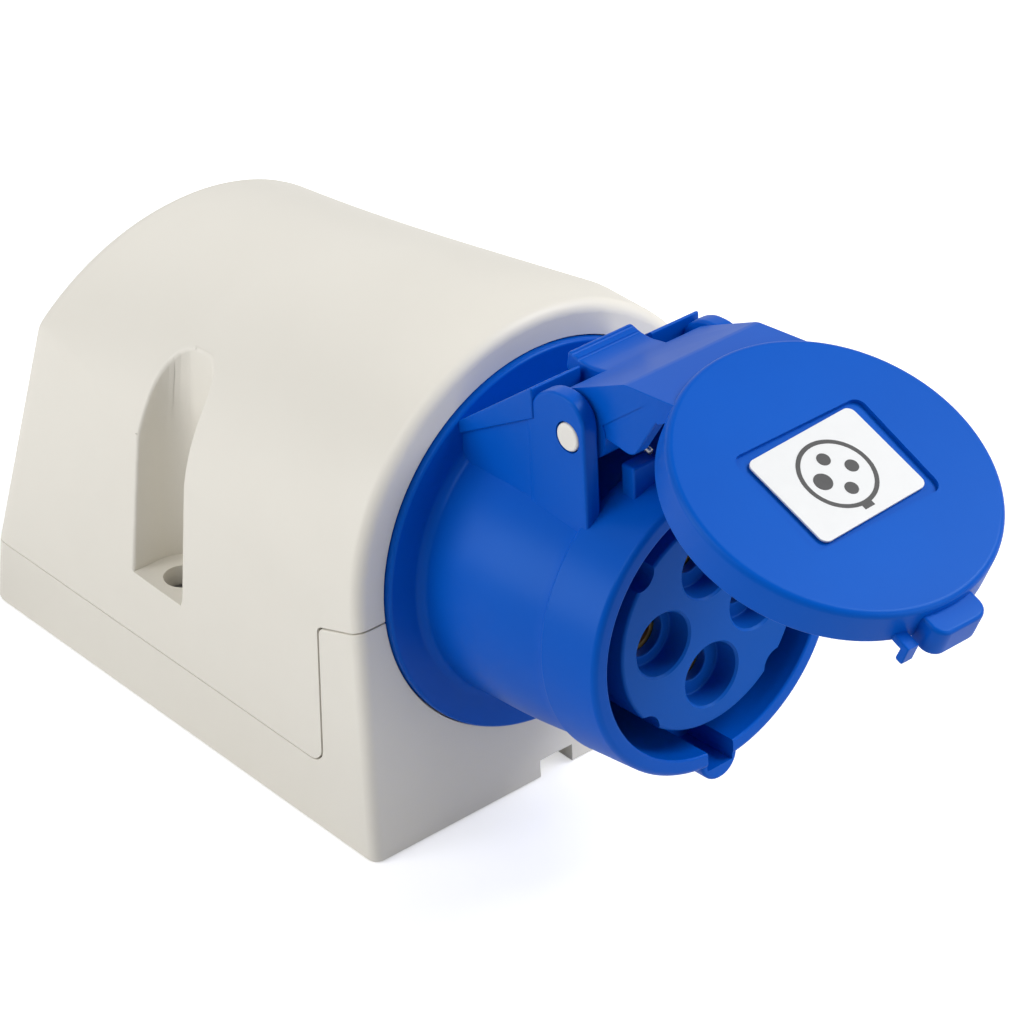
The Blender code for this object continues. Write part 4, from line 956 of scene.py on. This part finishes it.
# Hinge pin: a white plastic rod with rounded ends. It is pushed through one ear, the hood of the lid with
# the spring in it, and the other ear.
white_plastic = paper_white.copy()
white_plastic.name = "white_plastic"
tones = next(node for node in white_plastic.node_tree.nodes if node.type == "VALTORGB").color_ramp
tones.elements[0].color = (0.77, 0.75, 0.70, 1)
tones.elements[1].color = (0.82, 0.80, 0.75, 1)
pin_radius = 0.0026
pin_half = 0.0192
pin = moulding("pin_rod", spun([
    (0, -pin_half),
    (pin_radius, -pin_half, 0.0005),
    (pin_radius, pin_half, 0.0005),
    (0, pin_half),
], 64, pin_line))
faired(pin)
dressed(pin, white_plastic)
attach(pin, "housing")
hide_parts("hinge_pin")

# Lid spring: seven turns of steel wire round the pin. One leg rests on the stop of the outlet body, the
# other pushes the lid from under its hood; the coil is drawn wound to the lid's open angle.
coil_half = 0.0066
coil_radius = 0.00375
wire_radius = 0.00055
leg = 0.008
coil_turns = 7
start = math.radians(270)
end = math.radians(49.2 + open_angle) - math.tau * coil_turns
count = 32 * coil_turns
wire_path = [(-coil_half, 0.0068, -0.0051)]
for k in range(count + 1):
    angle = start + (end - start) * k / count
    wire_path.append((-coil_half + 2 * coil_half * k / count,
                      coil_radius * math.cos(angle), coil_radius * math.sin(angle)))
last_out, last_up = wire_path[-1][1:]
wire_path.append((coil_half, last_out + leg * math.sin(end), last_up - leg * math.cos(end)))
curve = bpy.data.curves.new("spring_wire", "CURVE")
curve.dimensions = "3D"
curve.bevel_depth = wire_radius
curve.bevel_resolution = 4
curve.use_fill_caps = True
line = curve.splines.new("POLY")
line.points.add(len(wire_path) - 1)
for point, (x, out, up) in zip(line.points, wire_path):
    point.co = (x, hinge_up + up, hinge_out + out, 1.0)
drawn = bpy.data.objects.new("spring_wire", curve)
scene.collection.objects.link(drawn)
graph = bpy.context.evaluated_depsgraph_get()
mesh = bpy.data.meshes.new_from_object(drawn.evaluated_get(graph))
bpy.data.objects.remove(drawn, do_unlink=True)
mesh.transform(outlet)
bm = bmesh.new()
bm.from_mesh(mesh)
bmesh.ops.remove_doubles(bm, verts=bm.verts, dist=1e-7)
spring = moulding("coil_spring", bm)
spring.data.shade_smooth()
bright_steel = steel_with_painted_shade.copy()
bright_steel.name = "spring_steel"
tones = next(node for node in bright_steel.node_tree.nodes if node.type == "VALTORGB").color_ramp
tones.elements[0].color = (0.42, 0.42, 0.43, 1)
tones.elements[1].color = (0.56, 0.56, 0.57, 1)
dressed(spring, bright_steel)
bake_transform(spring)
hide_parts("lid_spring")

# Inner parts that keep their CAD shape: the two rubber gaskets, the grey plate that carries the
# terminals, the turned brass contacts and inserts, and the terminals' steel screws.
brass = steel_with_painted_shade.copy()
brass.name = "brass"
tones = next(node for node in brass.node_tree.nodes if node.type == "VALTORGB").color_ramp
tones.elements[0].color = (0.60, 0.40, 0.15, 1)
tones.elements[1].color = (0.72, 0.50, 0.20, 1)
grey = cream.copy()
grey.name = "grey_plastic"
tones = next(node for node in grey.node_tree.nodes if node.type == "VALTORGB").color_ramp
tones.elements[0].color = (0.27, 0.28, 0.30, 1)
tones.elements[1].color = (0.31, 0.32, 0.34, 1)
for name, finish in (("cover_gasket", rubber), ("flange_gasket", rubber), ("terminal_carrier", grey),
                     ("contact_l1", brass), ("contact_l2", brass), ("contact_l3", brass),
                     ("contact_earth", brass), ("screw_insert_left", brass),
                     ("screw_insert_right", brass), ("terminal_screw_l1", bright_steel),
                     ("terminal_screw_l2", bright_steel), ("terminal_screw_l3", bright_steel),
                     ("terminal_screw_earth", bright_steel)):
    nodes[name].material_slots[0].material = finish

# Studio: a white floor under the wall face, five wide soft lamps round the object and an even pale
# surround. The floor renders white and keeps the object's soft shadow.
bpy.ops.mesh.primitive_plane_add(size=8.0, location=(0, 0, -0.0003))
floor = bpy.context.object
floor.name = "studio_floor"
paper = bpy.data.materials.new("studio_paper")
paper.use_nodes = True
tree = paper.node_tree
finish = tree.nodes["Principled BSDF"]
finish.inputs["Base Color"].default_value = (0.86, 0.86, 0.86, 1)
finish.inputs["Roughness"].default_value = 0.9
finish.inputs["Specular IOR Level"].default_value = 0.0
glow = tree.nodes.new("ShaderNodeEmission")
glow.inputs["Strength"].default_value = 0.5
add = tree.nodes.new("ShaderNodeAddShader")
seen = tree.nodes.new("ShaderNodeMixShader")
rays = tree.nodes.new("ShaderNodeLightPath")
tree.links.new(finish.outputs["BSDF"], add.inputs[0])
tree.links.new(glow.outputs["Emission"], add.inputs[1])
tree.links.new(rays.outputs["Is Camera Ray"], seen.inputs["Fac"])
tree.links.new(finish.outputs["BSDF"], seen.inputs[1])
tree.links.new(add.outputs["Shader"], seen.inputs[2])
tree.links.new(seen.outputs["Shader"], tree.nodes["Material Output"].inputs["Surface"])
floor.data.materials.append(paper)

world = bpy.data.worlds.new("surround")
scene.world = world
world.use_nodes = True
tree = world.node_tree
even = tree.nodes["Background"]
even.inputs["Color"].default_value = (1, 1, 1, 1)
even.inputs["Strength"].default_value = 0.126
white = tree.nodes.new("ShaderNodeBackground")
white.inputs["Color"].default_value = (1, 1, 1, 1)
rays = tree.nodes.new("ShaderNodeLightPath")
either = tree.nodes.new("ShaderNodeMath")
either.operation = "MAXIMUM"
shows = tree.nodes.new("ShaderNodeMath")
shows.operation = "MAXIMUM"
pick = tree.nodes.new("ShaderNodeMixShader")
tree.links.new(rays.outputs["Is Camera Ray"], either.inputs[0])
tree.links.new(rays.outputs["Is Glossy Ray"], either.inputs[1])
tree.links.new(either.outputs[0], shows.inputs[0])
tree.links.new(rays.outputs["Is Transmission Ray"], shows.inputs[1])
tree.links.new(shows.outputs[0], pick.inputs["Fac"])
tree.links.new(even.outputs["Background"], pick.inputs[1])
tree.links.new(white.outputs["Background"], pick.inputs[2])
tree.links.new(pick.outputs["Shader"], tree.nodes["World Output"].inputs["Surface"])

for name, place, size, power in (("key", (-1.0, 0.1, 1.15), 0.9, 6.8),
                                 ("left", (-1.35, 0.7, 0.45), 0.9, 9.4),
                                 ("right", (0.9, -0.6, 1.2), 0.9, 18.4),
                                 ("back", (-0.25, 0.75, 1.3), 0.9, 1.6),
                                 ("front", (0.5, -1.5, 0.5), 1.0, 6.0)):
    lamp = bpy.data.lights.new(name, "AREA")
    lamp.shape = "DISK"
    lamp.size = size
    lamp.energy = power
    holder = bpy.data.objects.new(name, lamp)
    scene.collection.objects.link(holder)
    holder.location = place
    holder.rotation_euler = (-Vector(place)).to_track_quat("-Z", "Y").to_euler()
scene.view_settings.view_transform = "Standard"
